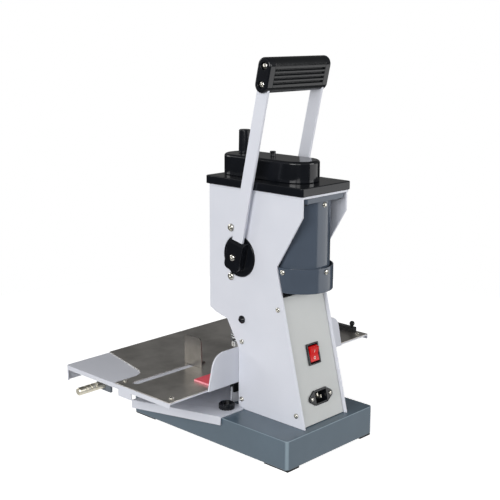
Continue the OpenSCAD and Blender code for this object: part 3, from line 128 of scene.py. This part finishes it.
# Sprayed or powder-coated sheet steel: even colour, and an orange peel that breaks up highlights.
# The peel is drawn coarser than a real one, which would be too fine to show
sprayed = {
    "pan_paint": dict(title="blueGreyEnamel", light="#5E6F7C", dark="#546470", rough=(0.20, 0.28),
                      peel=1.6, depth=0.020),
    "plate_paint": dict(title="lightGreyPowder", light="#E2E4EC", dark="#D9DCE5", rough=(0.42, 0.54),
                        peel=1.1, depth=0.018),
    "panel_paint": dict(title="warmGreyPowder", light="#CBCDCC", dark="#C1C4C3", rough=(0.42, 0.54),
                        peel=1.1, depth=0.018),
    "motor_paint": dict(title="glossMotorEnamel", light="#525C6A", dark="#4A535F", rough=(0.12, 0.18),
                        peel=2.4, depth=0.012),
    "hanger_paint": dict(title="greyBracketPaint", light="#757C84", dark="#676E76", rough=(0.40, 0.50),
                         peel=1.2, depth=0.015),
}
toneDrift = 45  # mm over which the coat's thickness shifts its tone
for slotName, coat in sprayed.items():
    tree, shader, place = startFinish(slotName, coat["title"], {"IOR": 1.5})
    drift = addNode(tree, "ShaderNodeTexNoise", values={"Scale": 1 / (toneDrift * mm), "Detail": 3.0},
                    links={"Vector": place}).outputs["Fac"]
    peel = addNode(tree, "ShaderNodeTexNoise", values={"Scale": 1 / (coat["peel"] * mm), "Detail": 2.0},
                   links={"Vector": place}).outputs["Fac"]
    layFinish(tree, shader, coat, drift, peel, peel)

# Moulded plastics and rubbers: the tool's grain shows as fine pits, and handling dulls the gloss in soft patches.
# The pits are drawn coarser than real ones, so that they show
moulded = {
    "gloss_black": dict(title="polishedBlackAbs", light="#16181D", dark="#101216", rough=(0.10, 0.18),
                        grain=3.0, depth=0.006, ior=1.42),
    "grip_plastic": dict(title="mouldedGripAbs", light="#181A1D", dark="#111315", rough=(0.18, 0.26),
                         grain=0.9, depth=0.004, ior=1.42),
    "black_plastic": dict(title="mattNylonBlack", light="#1E2024", dark="#15171A", rough=(0.38, 0.50),
                          grain=0.7, depth=0.020, ior=1.45),
    "foot_rubber": dict(title="footRubber", light="#26282B", dark="#1B1D1F", rough=(0.70, 0.85),
                        grain=1.2, depth=0.040, ior=1.45),
    "belt_rubber": dict(title="beltRubber", light="#242526", dark="#1A1B1C", rough=(0.65, 0.80),
                        grain=0.8, depth=0.030, ior=1.45),
    "red_plastic": dict(title="clearRedRocker", light="#E20A0C", dark="#CC0708", rough=(0.26, 0.34),
                        grain=2.0, depth=0.004, ior=1.40),
    "pad_plastic": dict(title="redDrillPad", light="#FF6674", dark="#F05A68", rough=(0.45, 0.60),
                        grain=0.8, depth=0.020, ior=1.47),
    "slide_nylon": dict(title="naturalNylon", light="#EAE7DF", dark="#DCD8CE", rough=(0.45, 0.55),
                        grain=1.0, depth=0.010, ior=1.5),
}
handledPatch = 18  # mm
for slotName, resin in moulded.items():
    tree, shader, place = startFinish(slotName, resin["title"], {"IOR": resin["ior"]})
    patch = addNode(tree, "ShaderNodeTexNoise", values={"Scale": 1 / (handledPatch * mm), "Detail": 4.0},
                    links={"Vector": place}).outputs["Fac"]
    grain = addNode(tree, "ShaderNodeTexNoise", values={"Scale": 1 / (resin["grain"] * mm), "Detail": 3.0},
                    links={"Vector": place}).outputs["Fac"]
    layFinish(tree, shader, resin, patch, patch, grain)

# Bare and plated metals: streaks run along the grinding, turning or drawing direction, in mm along x, y and z
bare = {
    "nickel_screw": dict(title="nickelPlate", light="#D6D4CC", dark="#BDBBB3", rough=(0.16, 0.26),
                         streak=(0.6, 0.6, 0.6), depth=0.004),
    "black_screw": dict(title="blackenedSteel", light="#3A3B3E", dark="#2B2C2E", rough=(0.32, 0.42),
                        streak=(0.8, 0.8, 0.8), depth=0.006),
    "cast_aluminium": dict(title="castAluminium", light="#B4B6B8", dark="#9A9C9E", rough=(0.42, 0.58),
                           streak=(0.9, 0.9, 0.9), depth=0.060),
    "bronze": dict(title="turnedBronze", light="#B9924F", dark="#A17C3F", rough=(0.26, 0.36),
                   streak=(0.3, 6.0, 6.0), depth=0.006),
    "tool_steel": dict(title="groundToolSteel", light="#B6B9BC", dark="#989B9E", rough=(0.24, 0.36),
                       streak=(6.0, 6.0, 0.4), depth=0.006),
    "spring_steel": dict(title="drawnSpringWire", light="#EEF2F3", dark="#D6DADC", rough=(0.28, 0.38),
                         streak=(1.0, 1.0, 1.0), depth=0.006),
    "foot_chrome": dict(title="chromePlate", light="#D9DBDD", dark="#CDCFD1", rough=(0.08, 0.14),
                        streak=(3.0, 3.0, 3.0), depth=0.002),
    "pin_nickel": dict(title="nickelPin", light="#FAF6EA", dark="#E6E1D4", rough=(0.42, 0.52),
                       streak=(0.5, 4.0, 0.5), depth=0.003),
    "zinc_steel": dict(title="yellowZinc", light="#E8E3D2", dark="#D2CDBC", rough=(0.30, 0.40),
                       streak=(0.5, 5.0, 5.0), depth=0.005),
}
for slotName, metal in bare.items():
    tree, shader, place = startFinish(slotName, metal["title"], {"Metallic": 1.0})
    along = addNode(tree, "ShaderNodeMapping", values={"Scale": [1 / (size * mm) for size in metal["streak"]]},
                    links={"Vector": place})
    streak = addNode(tree, "ShaderNodeTexNoise", values={"Scale": 1.0, "Detail": 3.0},
                     links={"Vector": along.outputs["Vector"]}).outputs["Fac"]
    layFinish(tree, shader, metal, streak, streak, streak)

# Brushed stainless sheet: fine lines along the table, and handling clouds the lines in palm-sized patches.
# Real lines are about 0.1 mm wide, and these are coarser so that they show
stainless = {
    "table_steel": dict(title="brushedStainless", light="#E0DCD6", dark="#AEAAA4", rough=(0.26, 0.40),
                        depth=0.006),
    "guide_steel": dict(title="brushedGuide", light="#9A9792", dark="#777470", rough=(0.30, 0.42),
                        depth=0.006),
}
brush = dict(line=(45, 0.9, 0.9), cloud=85,  # mm
             cloudFrom=0.36, cloudTo=0.66, lineShare=0.35, relief=0.4)
for slotName, sheet in stainless.items():
    tree, shader, place = startFinish(slotName, sheet["title"], {"Metallic": 1.0})
    cloud = addNode(tree, "ShaderNodeTexNoise",
                    values={"Scale": 1 / (brush["cloud"] * mm), "Detail": 4.0, "Roughness": 0.6},
                    links={"Vector": place}).outputs["Fac"]
    along = addNode(tree, "ShaderNodeMapping", values={"Scale": [1 / (size * mm) for size in brush["line"]]},
                    links={"Vector": place})
    line = addNode(tree, "ShaderNodeTexNoise", values={"Scale": 1.0, "Detail": 3.0},
                   links={"Vector": along.outputs["Vector"]}).outputs["Fac"]
    patch = addNode(tree, "ShaderNodeMapRange",
                    values={"From Min": brush["cloudFrom"], "From Max": brush["cloudTo"]}, links={"Value": cloud})
    both = addNode(tree, "ShaderNodeMath", {"operation": "MULTIPLY_ADD"}, {1: brush["lineShare"]},
                   {0: line, 2: patch.outputs["Result"]})
    layFinish(tree, shader, sheet, both.outputs["Value"], cloud, line, brush["relief"])


def reopenFinish(slotName):
    tree = finishes[slotName].node_tree
    shader = next(node for node in tree.nodes if node.type == "BSDF_PRINCIPLED")
    facing = addNode(tree, "ShaderNodeNewGeometry").outputs["Normal"]
    return tree, shader, facing, shader.inputs["Base Color"].links[0].from_socket


# Side faces of the red pad are painted paler than its top: a painted highlight of the light falling on them
paintedSideLight = dict(colour="#EE9AA4", upward=0.75)
tree, shader, facing, face = reopenFinish("pad_plastic")
rise = addNode(tree, "ShaderNodeSeparateXYZ", links={"Vector": facing}).outputs["Z"]
upper = addNode(tree, "ShaderNodeMath", {"operation": "GREATER_THAN"}, {1: paintedSideLight["upward"]}, {0: rise})
tint = addNode(tree, "ShaderNodeMix", {"data_type": "RGBA"}, {6: linear(paintedSideLight["colour"])},
               {0: upper.outputs["Value"], 7: face})
tree.links.new(tint.outputs[2], shader.inputs["Base Color"])

# The base pan's bends are painted paler: a painted highlight along its edges where the bevels would catch the
# light
paintedBendHighlight = dict(colour="#8899A4", flat=0.96, bent=0.60)  # the measure is 1 on a flat and 0.5 in mid-bend
tree, shader, facing, face = reopenFinish("pan_paint")
square = addNode(tree, "ShaderNodeVectorMath", {"operation": "MULTIPLY"},
                 links={0: facing, 1: facing}).outputs["Vector"]
measure = addNode(tree, "ShaderNodeVectorMath", {"operation": "DOT_PRODUCT"},
                  links={0: square, 1: square}).outputs["Value"]
bend = addNode(tree, "ShaderNodeMapRange", values={"From Min": paintedBendHighlight["flat"], "From Max": paintedBendHighlight["bent"]},
               links={"Value": measure}).outputs["Result"]
tint = addNode(tree, "ShaderNodeMix", {"data_type": "RGBA"}, {7: linear(paintedBendHighlight["colour"])}, {0: bend, 6: face})
tree.links.new(tint.outputs[2], shader.inputs["Base Color"])

# Pieces with a finish of their own
special = {"side_guide": "guide_steel", "inlet_body": "gloss_black", "slide_pads": "black_plastic"}
for name, node in nodes.items():
    node.data.materials.clear()
    node.data.materials.append(finishes[special.get(name, slotOf[name])])
print(f"finishes: {len(finishes)}")


def pick(piece):
    bpy.ops.object.select_all(action="DESELECT")
    piece.select_set(True)
    bpy.context.view_layer.objects.active = piece


def applyAll(piece):
    pick(piece)
    for modifier in list(piece.modifiers):
        bpy.ops.object.modifier_apply(modifier=modifier.name)


def openMesh():
    bpy.ops.object.mode_set(mode="EDIT")
    bpy.ops.mesh.select_all(action="SELECT")


def closeMesh():
    bpy.ops.object.mode_set(mode="OBJECT")


def faceOutward():
    bpy.ops.mesh.select_all(action="SELECT")
    bpy.ops.mesh.normals_make_consistent(inside=False)


def easeEdges(piece, width, angle, clamp=True):
    bevel = piece.modifiers.new("edge", "BEVEL")
    bevel.width = width * mm
    bevel.segments = 2
    bevel.limit_method = "ANGLE"
    bevel.angle_limit = math.radians(angle)
    bevel.use_clamp_overlap = clamp
    applyAll(piece)


def cutRecess(piece, cutter):
    cut = piece.modifiers.new("recess", "BOOLEAN")
    cut.object = cutter
    cut.operation = "DIFFERENCE"
    applyAll(piece)
    bpy.data.objects.remove(cutter)


def smoothed(piece, angle):
    pick(piece)
    bpy.ops.object.shade_smooth_by_angle(angle=math.radians(angle))
    piece.modifiers.new("faces", "WEIGHTED_NORMAL")
    applyAll(piece)


def settle(piece, body, slotName, replaced=(), finish=None):
    piece.data.materials.clear()
    piece.data.materials.append(finishes[finish or slotName])
    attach(piece, body)
    if replaced:
        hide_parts(*replaced)


def camelName(nodeName):
    first, *others = nodeName.split("_")
    return first + "".join(word.title() for word in others)


def nodeCopy(nodeName, title):
    piece = bpy.data.objects.new(title, nodes[nodeName].data.copy())
    bpy.context.scene.collection.objects.link(piece)
    pick(piece)
    bpy.ops.mesh.customdata_custom_splitnormals_clear()
    openMesh()
    bpy.ops.mesh.remove_doubles(threshold=0.01 * mm)
    bpy.ops.mesh.dissolve_limited(angle_limit=math.radians(0.5))
    closeMesh()
    return piece


# Edge radius in mm that bending, moulding or deburring leaves on each piece
edges = {
    "base_pan": 1.4, "right_side_plate": 0.5, "left_side_plate": 0.5, "rear_panel": 0.5, "front_panel": 0.5,
    "nose_panel": 0.4, "hole_plugs": 0.12, "top_plate": 0.4, "top_cover": 1.2, "belt_cover": 1.2,
    "spindle_cap": 1.5, "motor_can": 0.6, "motor_strap": 0.5, "switch_body": 0.5, "inlet_body": 0.5,
    "switch_rocker": 0.5, "pressure_foot": 0.4, "lever_hubs": 0.6, "lever_arms": 0.6, "belt_cover_nut": 0.12,
    "carriage_plate": 0.4, "guide_rod": 0.3, "rod_block": 0.8, "right_lock_knob": 0.15, "left_lock_knob": 0.15,
    "table_tray": 0.4, "table_plate": 0.25, "back_fence": 0.5, "drill_pad": 0.4, "rod_hangers": 0.5,
    "stop_bar": 0.5, "side_guide": 0.25,
}
holed = ("inlet_body", "carriage_plate", "lever_hubs")  # flats round an opening are split, or the bevel closes it
for nodeName, edge in edges.items():
    piece = nodeCopy(nodeName, camelName(nodeName))
    if nodeName in holed:
        openMesh()
        bpy.ops.mesh.quads_convert_to_tris(ngon_method="BEAUTY")
        closeMesh()
    easeEdges(piece, edge, angle=28, clamp=False)
    smoothed(piece, angle=32)
    settle(piece, body_of(nodes[nodeName])[0], slotOf[nodeName], [nodeName], special.get(nodeName))
print(f"eased edges: {len(edges)} pieces")

# Pan-head screws: one domed head with a cross recess, sized to each screw of the frame
panHead = dict(rim=0.26, dome=0.36, shank=0.52, slot=0.13, slotLength=0.62, slotDepth=0.34)  # in head radii
bpy.ops.object.select_all(action="DESELECT")
bpy.ops.mesh.primitive_uv_sphere_add(segments=32, ring_count=16, radius=1)
panScrew = bpy.context.object
panScrew.name = "panScrew"
openMesh()
bpy.ops.mesh.bisect(plane_co=(0, 0, 0), plane_no=(0, 0, 1), clear_inner=True)
bpy.ops.mesh.extrude_region_move(TRANSFORM_OT_translate={"value": (0, 0, -panHead["rim"] / panHead["dome"])})
bpy.ops.mesh.extrude_region_move()
bpy.ops.transform.resize(value=(panHead["shank"], panHead["shank"], 1))
bpy.ops.mesh.extrude_region_move(TRANSFORM_OT_translate={"value": (0, 0, -1)})
bpy.ops.mesh.edge_face_add()
bpy.ops.mesh.select_all(action="SELECT")
bpy.ops.transform.resize(value=(1, 1, panHead["dome"]), center_override=(0, 0, 0))
bpy.ops.transform.translate(value=(0, 0, panHead["rim"]))
bpy.ops.mesh.normals_make_consistent(inside=False)
closeMesh()
crown = panHead["rim"] + panHead["dome"]
for turn in (0, math.pi / 2):
    bpy.ops.mesh.primitive_cube_add(size=1, location=(0, 0, crown), rotation=(0, 0, turn))
    cutter = bpy.context.object
    cutter.scale = (2 * panHead["slotLength"], 2 * panHead["slot"], 2 * panHead["slotDepth"])
    cutRecess(panScrew, cutter)


def looseScrews(nodeName):
    nodeCopy(nodeName, "loose")
    openMesh()
    bpy.ops.mesh.separate(type="LOOSE")
    closeMesh()
    return list(bpy.context.selected_objects)


screwNodes = ("panel_screws", "casting_bolts", "lever_screws", "table_screws", "motor_screws")
driven = dict(turn=2.4, rim=0.97)  # radians from one recess to the next, share of the radius that is rim
for nodeName in screwNodes:
    copies = []
    for loose in looseScrews(nodeName):
        points = np.array([v.co for v in loose.data.vertices], float)
        middle = points.mean(0)
        spread, ways = np.linalg.eigh(np.cov((points - middle).T))
        odd = 0 if spread[1] - spread[0] > spread[2] - spread[1] else 2  # the way that differs is the axis
        axis = ways[:, odd]
        height = (points - middle) @ axis
        radius = np.linalg.norm(points - middle - np.outer(height, axis), axis=1)
        head = radius > driven["rim"] * radius.max()
        if height[head].mean() < (height.max() + height.min()) / 2:
            axis, height = -axis, -height
        seat, tail = height[head].min(), height.min()
        piece = bpy.data.objects.new("screw", panScrew.data.copy())
        bpy.context.scene.collection.objects.link(piece)
        for v in piece.data.vertices:
            v.co.x *= radius.max()
            v.co.y *= radius.max()
            v.co.z *= radius.max() if v.co.z > -0.001 else (seat - tail) / panHead["dome"]  # head or shank
        spot = Vector(middle + axis * seat)
        upright = Vector(axis).to_track_quat("Z", "Y").to_matrix().to_4x4()
        spin = Matrix.Rotation(driven["turn"] * len(copies), 4, "Z")  # each was driven home at its own angle
        piece.data.transform(Matrix.Translation(spot) @ upright @ spin)
        copies.append(piece)
        bpy.data.objects.remove(loose)
    pick(copies[0])
    for piece in copies:
        piece.select_set(True)
    bpy.ops.object.join()
    piece = bpy.context.object
    piece.name = camelName(nodeName)
    smoothed(piece, angle=35)
    settle(piece, body_of(nodes[nodeName])[0], slotOf[nodeName], [nodeName])
bpy.data.objects.remove(panScrew)
print(f"screws: {len(screwNodes)} sets")

# Springs of drawn wire: a circle swept by the Screw modifier, ends closed
coils = {  # wire in mm and turns as wound; the frame gives where each one stands
    "pressure_spring": dict(name="pressureSpring", wire=2.4, turns=10, along=2),
    "return_spring": dict(name="returnSpring", wire=2.0, turns=5, along=0),
}
for nodeName, coil in coils.items():
    low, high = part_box(nodeName)
    wire = coil["wire"] * mm
    length = high[coil["along"]] - low[coil["along"]] - wire
    mean = (high.y - low.y - wire) / 2
    bpy.ops.object.select_all(action="DESELECT")
    bpy.ops.mesh.primitive_circle_add(vertices=14, radius=wire / 2, location=(mean, 0, 0),
                                      rotation=(math.pi / 2, 0, 0))
    piece = bpy.context.object
    piece.name = coil["name"]
    bpy.ops.object.transform_apply()
    sweep = piece.modifiers.new("turns", "SCREW")
    sweep.axis = "Z"
    sweep.iterations = coil["turns"]
    sweep.screw_offset = length / coil["turns"]
    sweep.steps = sweep.render_steps = 40
    applyAll(piece)
    openMesh()
    bpy.ops.mesh.remove_doubles(threshold=0.001 * mm)
    bpy.ops.mesh.select_mode(type="EDGE")
    bpy.ops.mesh.select_all(action="DESELECT")
    bpy.ops.mesh.select_non_manifold()
    bpy.ops.mesh.edge_face_add()
    faceOutward()
    closeMesh()
    stand = Matrix.Rotation(math.pi / 2, 4, "Y") if coil["along"] == 0 else Matrix.Identity(4)
    centre = (low + high) / 2
    centre[coil["along"]] = low[coil["along"]] + wire / 2
    piece.data.transform(Matrix.Translation(centre) @ stand)
    smoothed(piece, angle=50)
    settle(piece, body_of(nodes[nodeName])[0], slotOf[nodeName], [nodeName])
    if nodeName == "pressure_spring":
        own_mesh(piece)
print("springs wound")

# Hand grip: a moulded bar of stadium section with finger grooves along its rear flat, closed by two end caps
grip = dict(thick=23.5, high=49, grooves=4, pitch=6.2, grooveWidth=3.4, grooveDepth=2.6, grooveFloor=0.25,
            grooveEnd=0.6, edge=0.3)
caps = dict(rim=2.6, recess=11, recessDepth=4, edge=0.4)
low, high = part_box("lever_grip")
gripLength, gripCentre = high.x - low.x, (low + high) / 2
straight = (grip["high"] - grip["thick"]) / 2 * mm  # from the middle to where the round ends start
flatOn = 0.99  # least share of a normal that points the way a flat looks
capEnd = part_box("grip_end_caps")[1].x - gripCentre.x
pivot = Vector(next(joint for joint in frame["joints"] if joint["name"] == "lever_swing")["pos_m"])
gripUp = Vector((0, gripCentre.y - pivot.y, gripCentre.z - pivot.z)).normalized()
gripRear = gripUp.cross(Vector((1, 0, 0)))
if gripRear.y < 0:
    gripRear = -gripRear
onLever = Matrix.Translation(gripCentre) @ Matrix((Vector((1, 0, 0)), gripRear, gripUp)).transposed().to_4x4()


def chooseFaces(piece, test):
    bpy.ops.mesh.select_mode(type="FACE")
    bpy.ops.mesh.select_all(action="DESELECT")
    bpy.ops.object.mode_set(mode="OBJECT")
    for polygon in piece.data.polygons:
        polygon.select = test(polygon.center, polygon.normal)
    bpy.ops.object.mode_set(mode="EDIT")


def stadiumBar(name, start, length):
    bpy.ops.object.select_all(action="DESELECT")
    bpy.ops.mesh.primitive_circle_add(vertices=64, radius=grip["thick"] / 2 * mm, fill_type="NGON",
                                      rotation=(0, math.pi / 2, 0))
    piece = bpy.context.object
    piece.name = name
    bpy.ops.object.transform_apply()
    for vertex in piece.data.vertices:  # pull the two halves apart
        vertex.co.z += straight if vertex.co.z > -0.001 * mm else -straight
        vertex.co.x = start
    openMesh()
    bpy.ops.mesh.extrude_region_move(TRANSFORM_OT_translate={"value": (length, 0, 0)})
    faceOutward()
    return piece


bar = stadiumBar("leverGrip", -gripLength / 2, gripLength)
first = (grip["grooves"] - 1) / 2 * grip["pitch"]
middles = [(k * grip["pitch"] - first) * mm for k in range(grip["grooves"])]
half = grip["grooveWidth"] / 2 * mm
reach = gripLength / 2 - grip["grooveEnd"] * mm
for z in middles:
    for side in (-half, half):
        bpy.ops.mesh.select_all(action="SELECT")
        bpy.ops.mesh.bisect(plane_co=(0, 0, z + side), plane_no=(0, 0, 1))
for x in (-reach, reach):
    bpy.ops.mesh.select_all(action="SELECT")
    bpy.ops.mesh.bisect(plane_co=(x, 0, 0), plane_no=(1, 0, 0))
for z in middles:
    chooseFaces(bar, lambda c, n: n.y > flatOn and c.y > 0 and abs(c.x) < reach and abs(c.z - z) < half)
    bpy.ops.mesh.extrude_region_move(TRANSFORM_OT_translate={"value": (0, -grip["grooveDepth"] * mm, 0)})
    bpy.ops.transform.resize(value=(1, 1, grip["grooveFloor"]), center_override=(0, 0, z))  # narrows to a V
closeMesh()
bar.data.transform(onLever)
easeEdges(bar, grip["edge"], angle=40)
smoothed(bar, angle=35)
settle(bar, "lever_unit", slotOf["lever_grip"], ["lever_grip"])

cap = stadiumBar("gripEndCaps", gripLength / 2, capEnd - gripLength / 2)
chooseFaces(cap, lambda c, n: n.x > flatOn)
bpy.ops.mesh.bevel(offset=caps["rim"] * mm, segments=5, affect="EDGES")
closeMesh()
for z in (-straight, straight):
    bpy.ops.mesh.primitive_cylinder_add(vertices=48, radius=caps["recess"] / 2 * mm,
                                        depth=2 * caps["recessDepth"] * mm,
                                        location=(capEnd, 0, z), rotation=(0, math.pi / 2, 0))
    cutRecess(cap, bpy.context.object)
easeEdges(cap, caps["edge"], angle=50)
mirror = cap.modifiers.new("otherEnd", "MIRROR")
mirror.use_clip = False
mirror.use_mirror_merge = False
applyAll(cap)
cap.data.transform(onLever)
smoothed(cap, angle=35)
settle(cap, "lever_unit", slotOf["grip_end_caps"], ["grip_end_caps"])
print("grip and caps ready")

# Rocker marks: a raised bar and ring printed on the two slopes of the rocker
marks = dict(bar=(0.9, 4.2), ring=2.1, ringWidth=0.75, rise=0.12, edge=0.04, outward=0.85, leastArea=10)
slopes = {}  # lean of each large face that looks out -> its area and area-weighted middle
for polygon in nodes["switch_rocker"].data.polygons:
    if polygon.normal.y > marks["outward"]:
        key = round(polygon.normal.z, 2)
        area, middle = slopes.get(key, (0.0, Vector()))
        slopes[key] = (area + polygon.area, middle + polygon.center * polygon.area)
slopes = [(middle / area, key) for key, (area, middle) in slopes.items() if area > marks["leastArea"] * mm * mm]
slopes.sort(key=lambda item: item[0].z)
for title, (middle, lean) in zip(("ringMark", "barMark"), slopes):
    bpy.ops.object.select_all(action="DESELECT")
    if title == "ringMark":
        bpy.ops.mesh.primitive_circle_add(vertices=40, radius=marks["ring"] * mm, fill_type="NGON")
    else:
        bpy.ops.mesh.primitive_plane_add(size=1)
        bpy.context.object.scale = (marks["bar"][0] * mm, marks["bar"][1] * mm, 1)
        bpy.ops.object.transform_apply()
    piece = bpy.context.object
    piece.name = title
    openMesh()
    if title == "ringMark":
        bpy.ops.mesh.inset(thickness=marks["ringWidth"] * mm)
        bpy.ops.mesh.delete(type="FACE")
        bpy.ops.mesh.select_all(action="SELECT")
    bpy.ops.mesh.extrude_region_move(TRANSFORM_OT_translate={"value": (0, 0, marks["rise"] * mm)})
    faceOutward()
    closeMesh()
    out = Vector((0, math.sqrt(1 - lean * lean), lean))
    across = Vector((-1, 0, 0))
    onSlope = Matrix((across, out.cross(across), out)).transposed().to_4x4()
    piece.data.transform(Matrix.Translation(middle) @ onSlope)
    bevel = piece.modifiers.new("edge", "BEVEL")
    bevel.width = marks["edge"] * mm
    applyAll(piece)
    settle(piece, "rocker_unit", "slide_nylon")
print("rocker marked")

# Camera as fitted to the photograph, in metres and degrees
view = dict(spot=(1.1000, 1.0511, 0.6071), lens=73.17, sensor=36, yaw=46.4, pitch=12.6, roll=0.2)
yaw, pitch, roll = (math.radians(view[k]) for k in ("yaw", "pitch", "roll"))
ahead = Vector((-math.sin(yaw) * math.cos(pitch), -math.cos(yaw) * math.cos(pitch), -math.sin(pitch)))
right = ahead.cross(Vector((0, 0, 1))).normalized()
up = right.cross(ahead)
cameraX = math.cos(roll) * right + math.sin(roll) * up
cameraY = -math.sin(roll) * right + math.cos(roll) * up
lensData = bpy.data.cameras.new("bench camera")
lensData.lens = view["lens"]
lensData.sensor_width = view["sensor"]
camera = bpy.data.objects.new("bench camera", lensData)
turned = Matrix((cameraX, cameraY, -ahead)).transposed().to_4x4()
camera.matrix_world = Matrix.Translation(view["spot"]) @ turned
bpy.context.scene.collection.objects.link(camera)
bpy.context.scene.camera = camera
bpy.context.scene.view_settings.view_transform = "Standard"

# Pale floor: nearly white to the camera, mirrored by the paint near the feet, and it throws little light back up
ground = dict(radius=0.9, drop=0.2, pale="#F6F6F6", glow=0.75, dim="#7C7C7C", near=(0.35, 0.9), far=(0.65, 0.1))
bpy.ops.object.select_all(action="DESELECT")
bpy.ops.mesh.primitive_circle_add(vertices=96, radius=ground["radius"], fill_type="NGON",
                                  location=(0, 0, -ground["drop"] * mm))
floor = bpy.context.object
floor.name = "floor"
bpy.ops.object.transform_apply()
tree, shader, place = startFinish("floor", "paleFloor", {
    "Roughness": 0.9, "Base Color": linear(ground["pale"]), "Specular IOR Level": 0.0,
    "Emission Color": (1, 1, 1, 1), "Emission Strength": ground["glow"]})
dim = addNode(tree, "ShaderNodeBsdfDiffuse", values={"Color": linear(ground["dim"])})
path = addNode(tree, "ShaderNodeLightPath")
distance = addNode(tree, "ShaderNodeVectorMath", {"operation": "LENGTH"}, links={0: place}).outputs["Value"]
mirrored = addNode(tree, "ShaderNodeMapRange",
                   values={"From Min": ground["near"][0], "From Max": ground["far"][0],
                           "To Min": ground["near"][1], "To Max": ground["far"][1]}, links={"Value": distance})
sheet = addNode(tree, "ShaderNodeEmission", links={"Strength": mirrored.outputs["Result"]})
under = addNode(tree, "ShaderNodeMixShader",
                links={0: path.outputs["Is Glossy Ray"], 1: dim.outputs["BSDF"], 2: sheet.outputs["Emission"]})
both = addNode(tree, "ShaderNodeMixShader",
               links={0: path.outputs["Is Camera Ray"], 1: under.outputs["Shader"], 2: shader.outputs["BSDF"]})
surface = next(node for node in tree.nodes if node.type == "OUTPUT_MATERIAL")
tree.links.new(both.outputs["Shader"], surface.inputs["Surface"])
floor.data.materials.append(finishes["floor"])

softboxes = [  # where each stands and points in metres, width and height, power
    dict(name="key", spot=(2.1, 0.50, 0.90), aim=(0, 0, 0.25), size=(1.3, 0.8), watts=27),
    dict(name="side", spot=(1.1, -2.0, 0.95), aim=(0, 0, 0.2), size=(1.2, 1.0), watts=13),
    dict(name="fill", spot=(-1.0, 2.1, 0.75), aim=(0, 0, 0.25), size=(1.0, 0.8), watts=18),
    dict(name="front", spot=(1.75, 1.60, 0.75), aim=(0, 0, 0.3), size=(0.7, 0.7), watts=9),
    dict(name="wall", spot=(-1.15, 1.25, -0.02), aim=(0, 0, 0.25), size=(1.9, 0.7), watts=7),
]
for box in softboxes:
    lamp = bpy.data.lights.new(box["name"], "AREA")
    lamp.shape = "RECTANGLE"
    lamp.size, lamp.size_y = box["size"]
    lamp.energy = box["watts"]
    holder = bpy.data.objects.new(box["name"], lamp)
    holder.location = box["spot"]
    holder.rotation_euler = (Vector(box["aim"]) - Vector(box["spot"])).to_track_quat("-Z", "Y").to_euler()
    bpy.context.scene.collection.objects.link(holder)

# Studio walls: white to the camera; to the object dark below the horizon, brightest low over it, dim overhead,
# and darker on the side away from the camera
walls = dict(below=(0.44, 0.06), low=(0.62, 0.50), overhead=(0.95, 0.13), lit=(0.72, 0.69, 0), fade=(-0.7, 0.4),
             away=0.36)
world = bpy.data.worlds.new("studio")
bpy.context.scene.world = world
world.use_nodes = True
tree = world.node_tree
tree.nodes.clear()
sky = addNode(tree, "ShaderNodeTexCoord").outputs["Generated"]
height = addNode(tree, "ShaderNodeSeparateXYZ", links={"Vector": sky}).outputs["Z"]
climb = addNode(tree, "ShaderNodeMapRange", values={"From Min": -1.0}, links={"Value": height})
glow = addNode(tree, "ShaderNodeValToRGB", links={"Fac": climb.outputs["Result"]})
stops = glow.color_ramp.elements
stops.new(walls["overhead"][0])
for stop, (position, grey) in zip(stops, (walls["below"], walls["low"], walls["overhead"])):
    stop.position, stop.color = position, (grey, grey, grey, 1)
seen = addNode(tree, "ShaderNodeLightPath").outputs["Is Camera Ray"]
side = addNode(tree, "ShaderNodeVectorMath", {"operation": "DOT_PRODUCT"}, {1: walls["lit"]}, {0: sky})
fall = addNode(tree, "ShaderNodeMapRange",
               values={"From Min": walls["fade"][0], "From Max": walls["fade"][1], "To Min": walls["away"]},
               links={"Value": side.outputs["Value"]})
light = addNode(tree, "ShaderNodeMath", {"operation": "MULTIPLY"},
                links={0: glow.outputs["Color"], 1: fall.outputs["Result"]})
power = addNode(tree, "ShaderNodeMix", values={3: 1.0}, links={0: seen, 2: light.outputs["Value"]})
back = addNode(tree, "ShaderNodeBackground", values={"Color": (1, 1, 1, 1)}, links={"Strength": power.outputs[0]})
addNode(tree, "ShaderNodeOutputWorld", links={"Surface": back.outputs["Background"]})
print("studio ready")
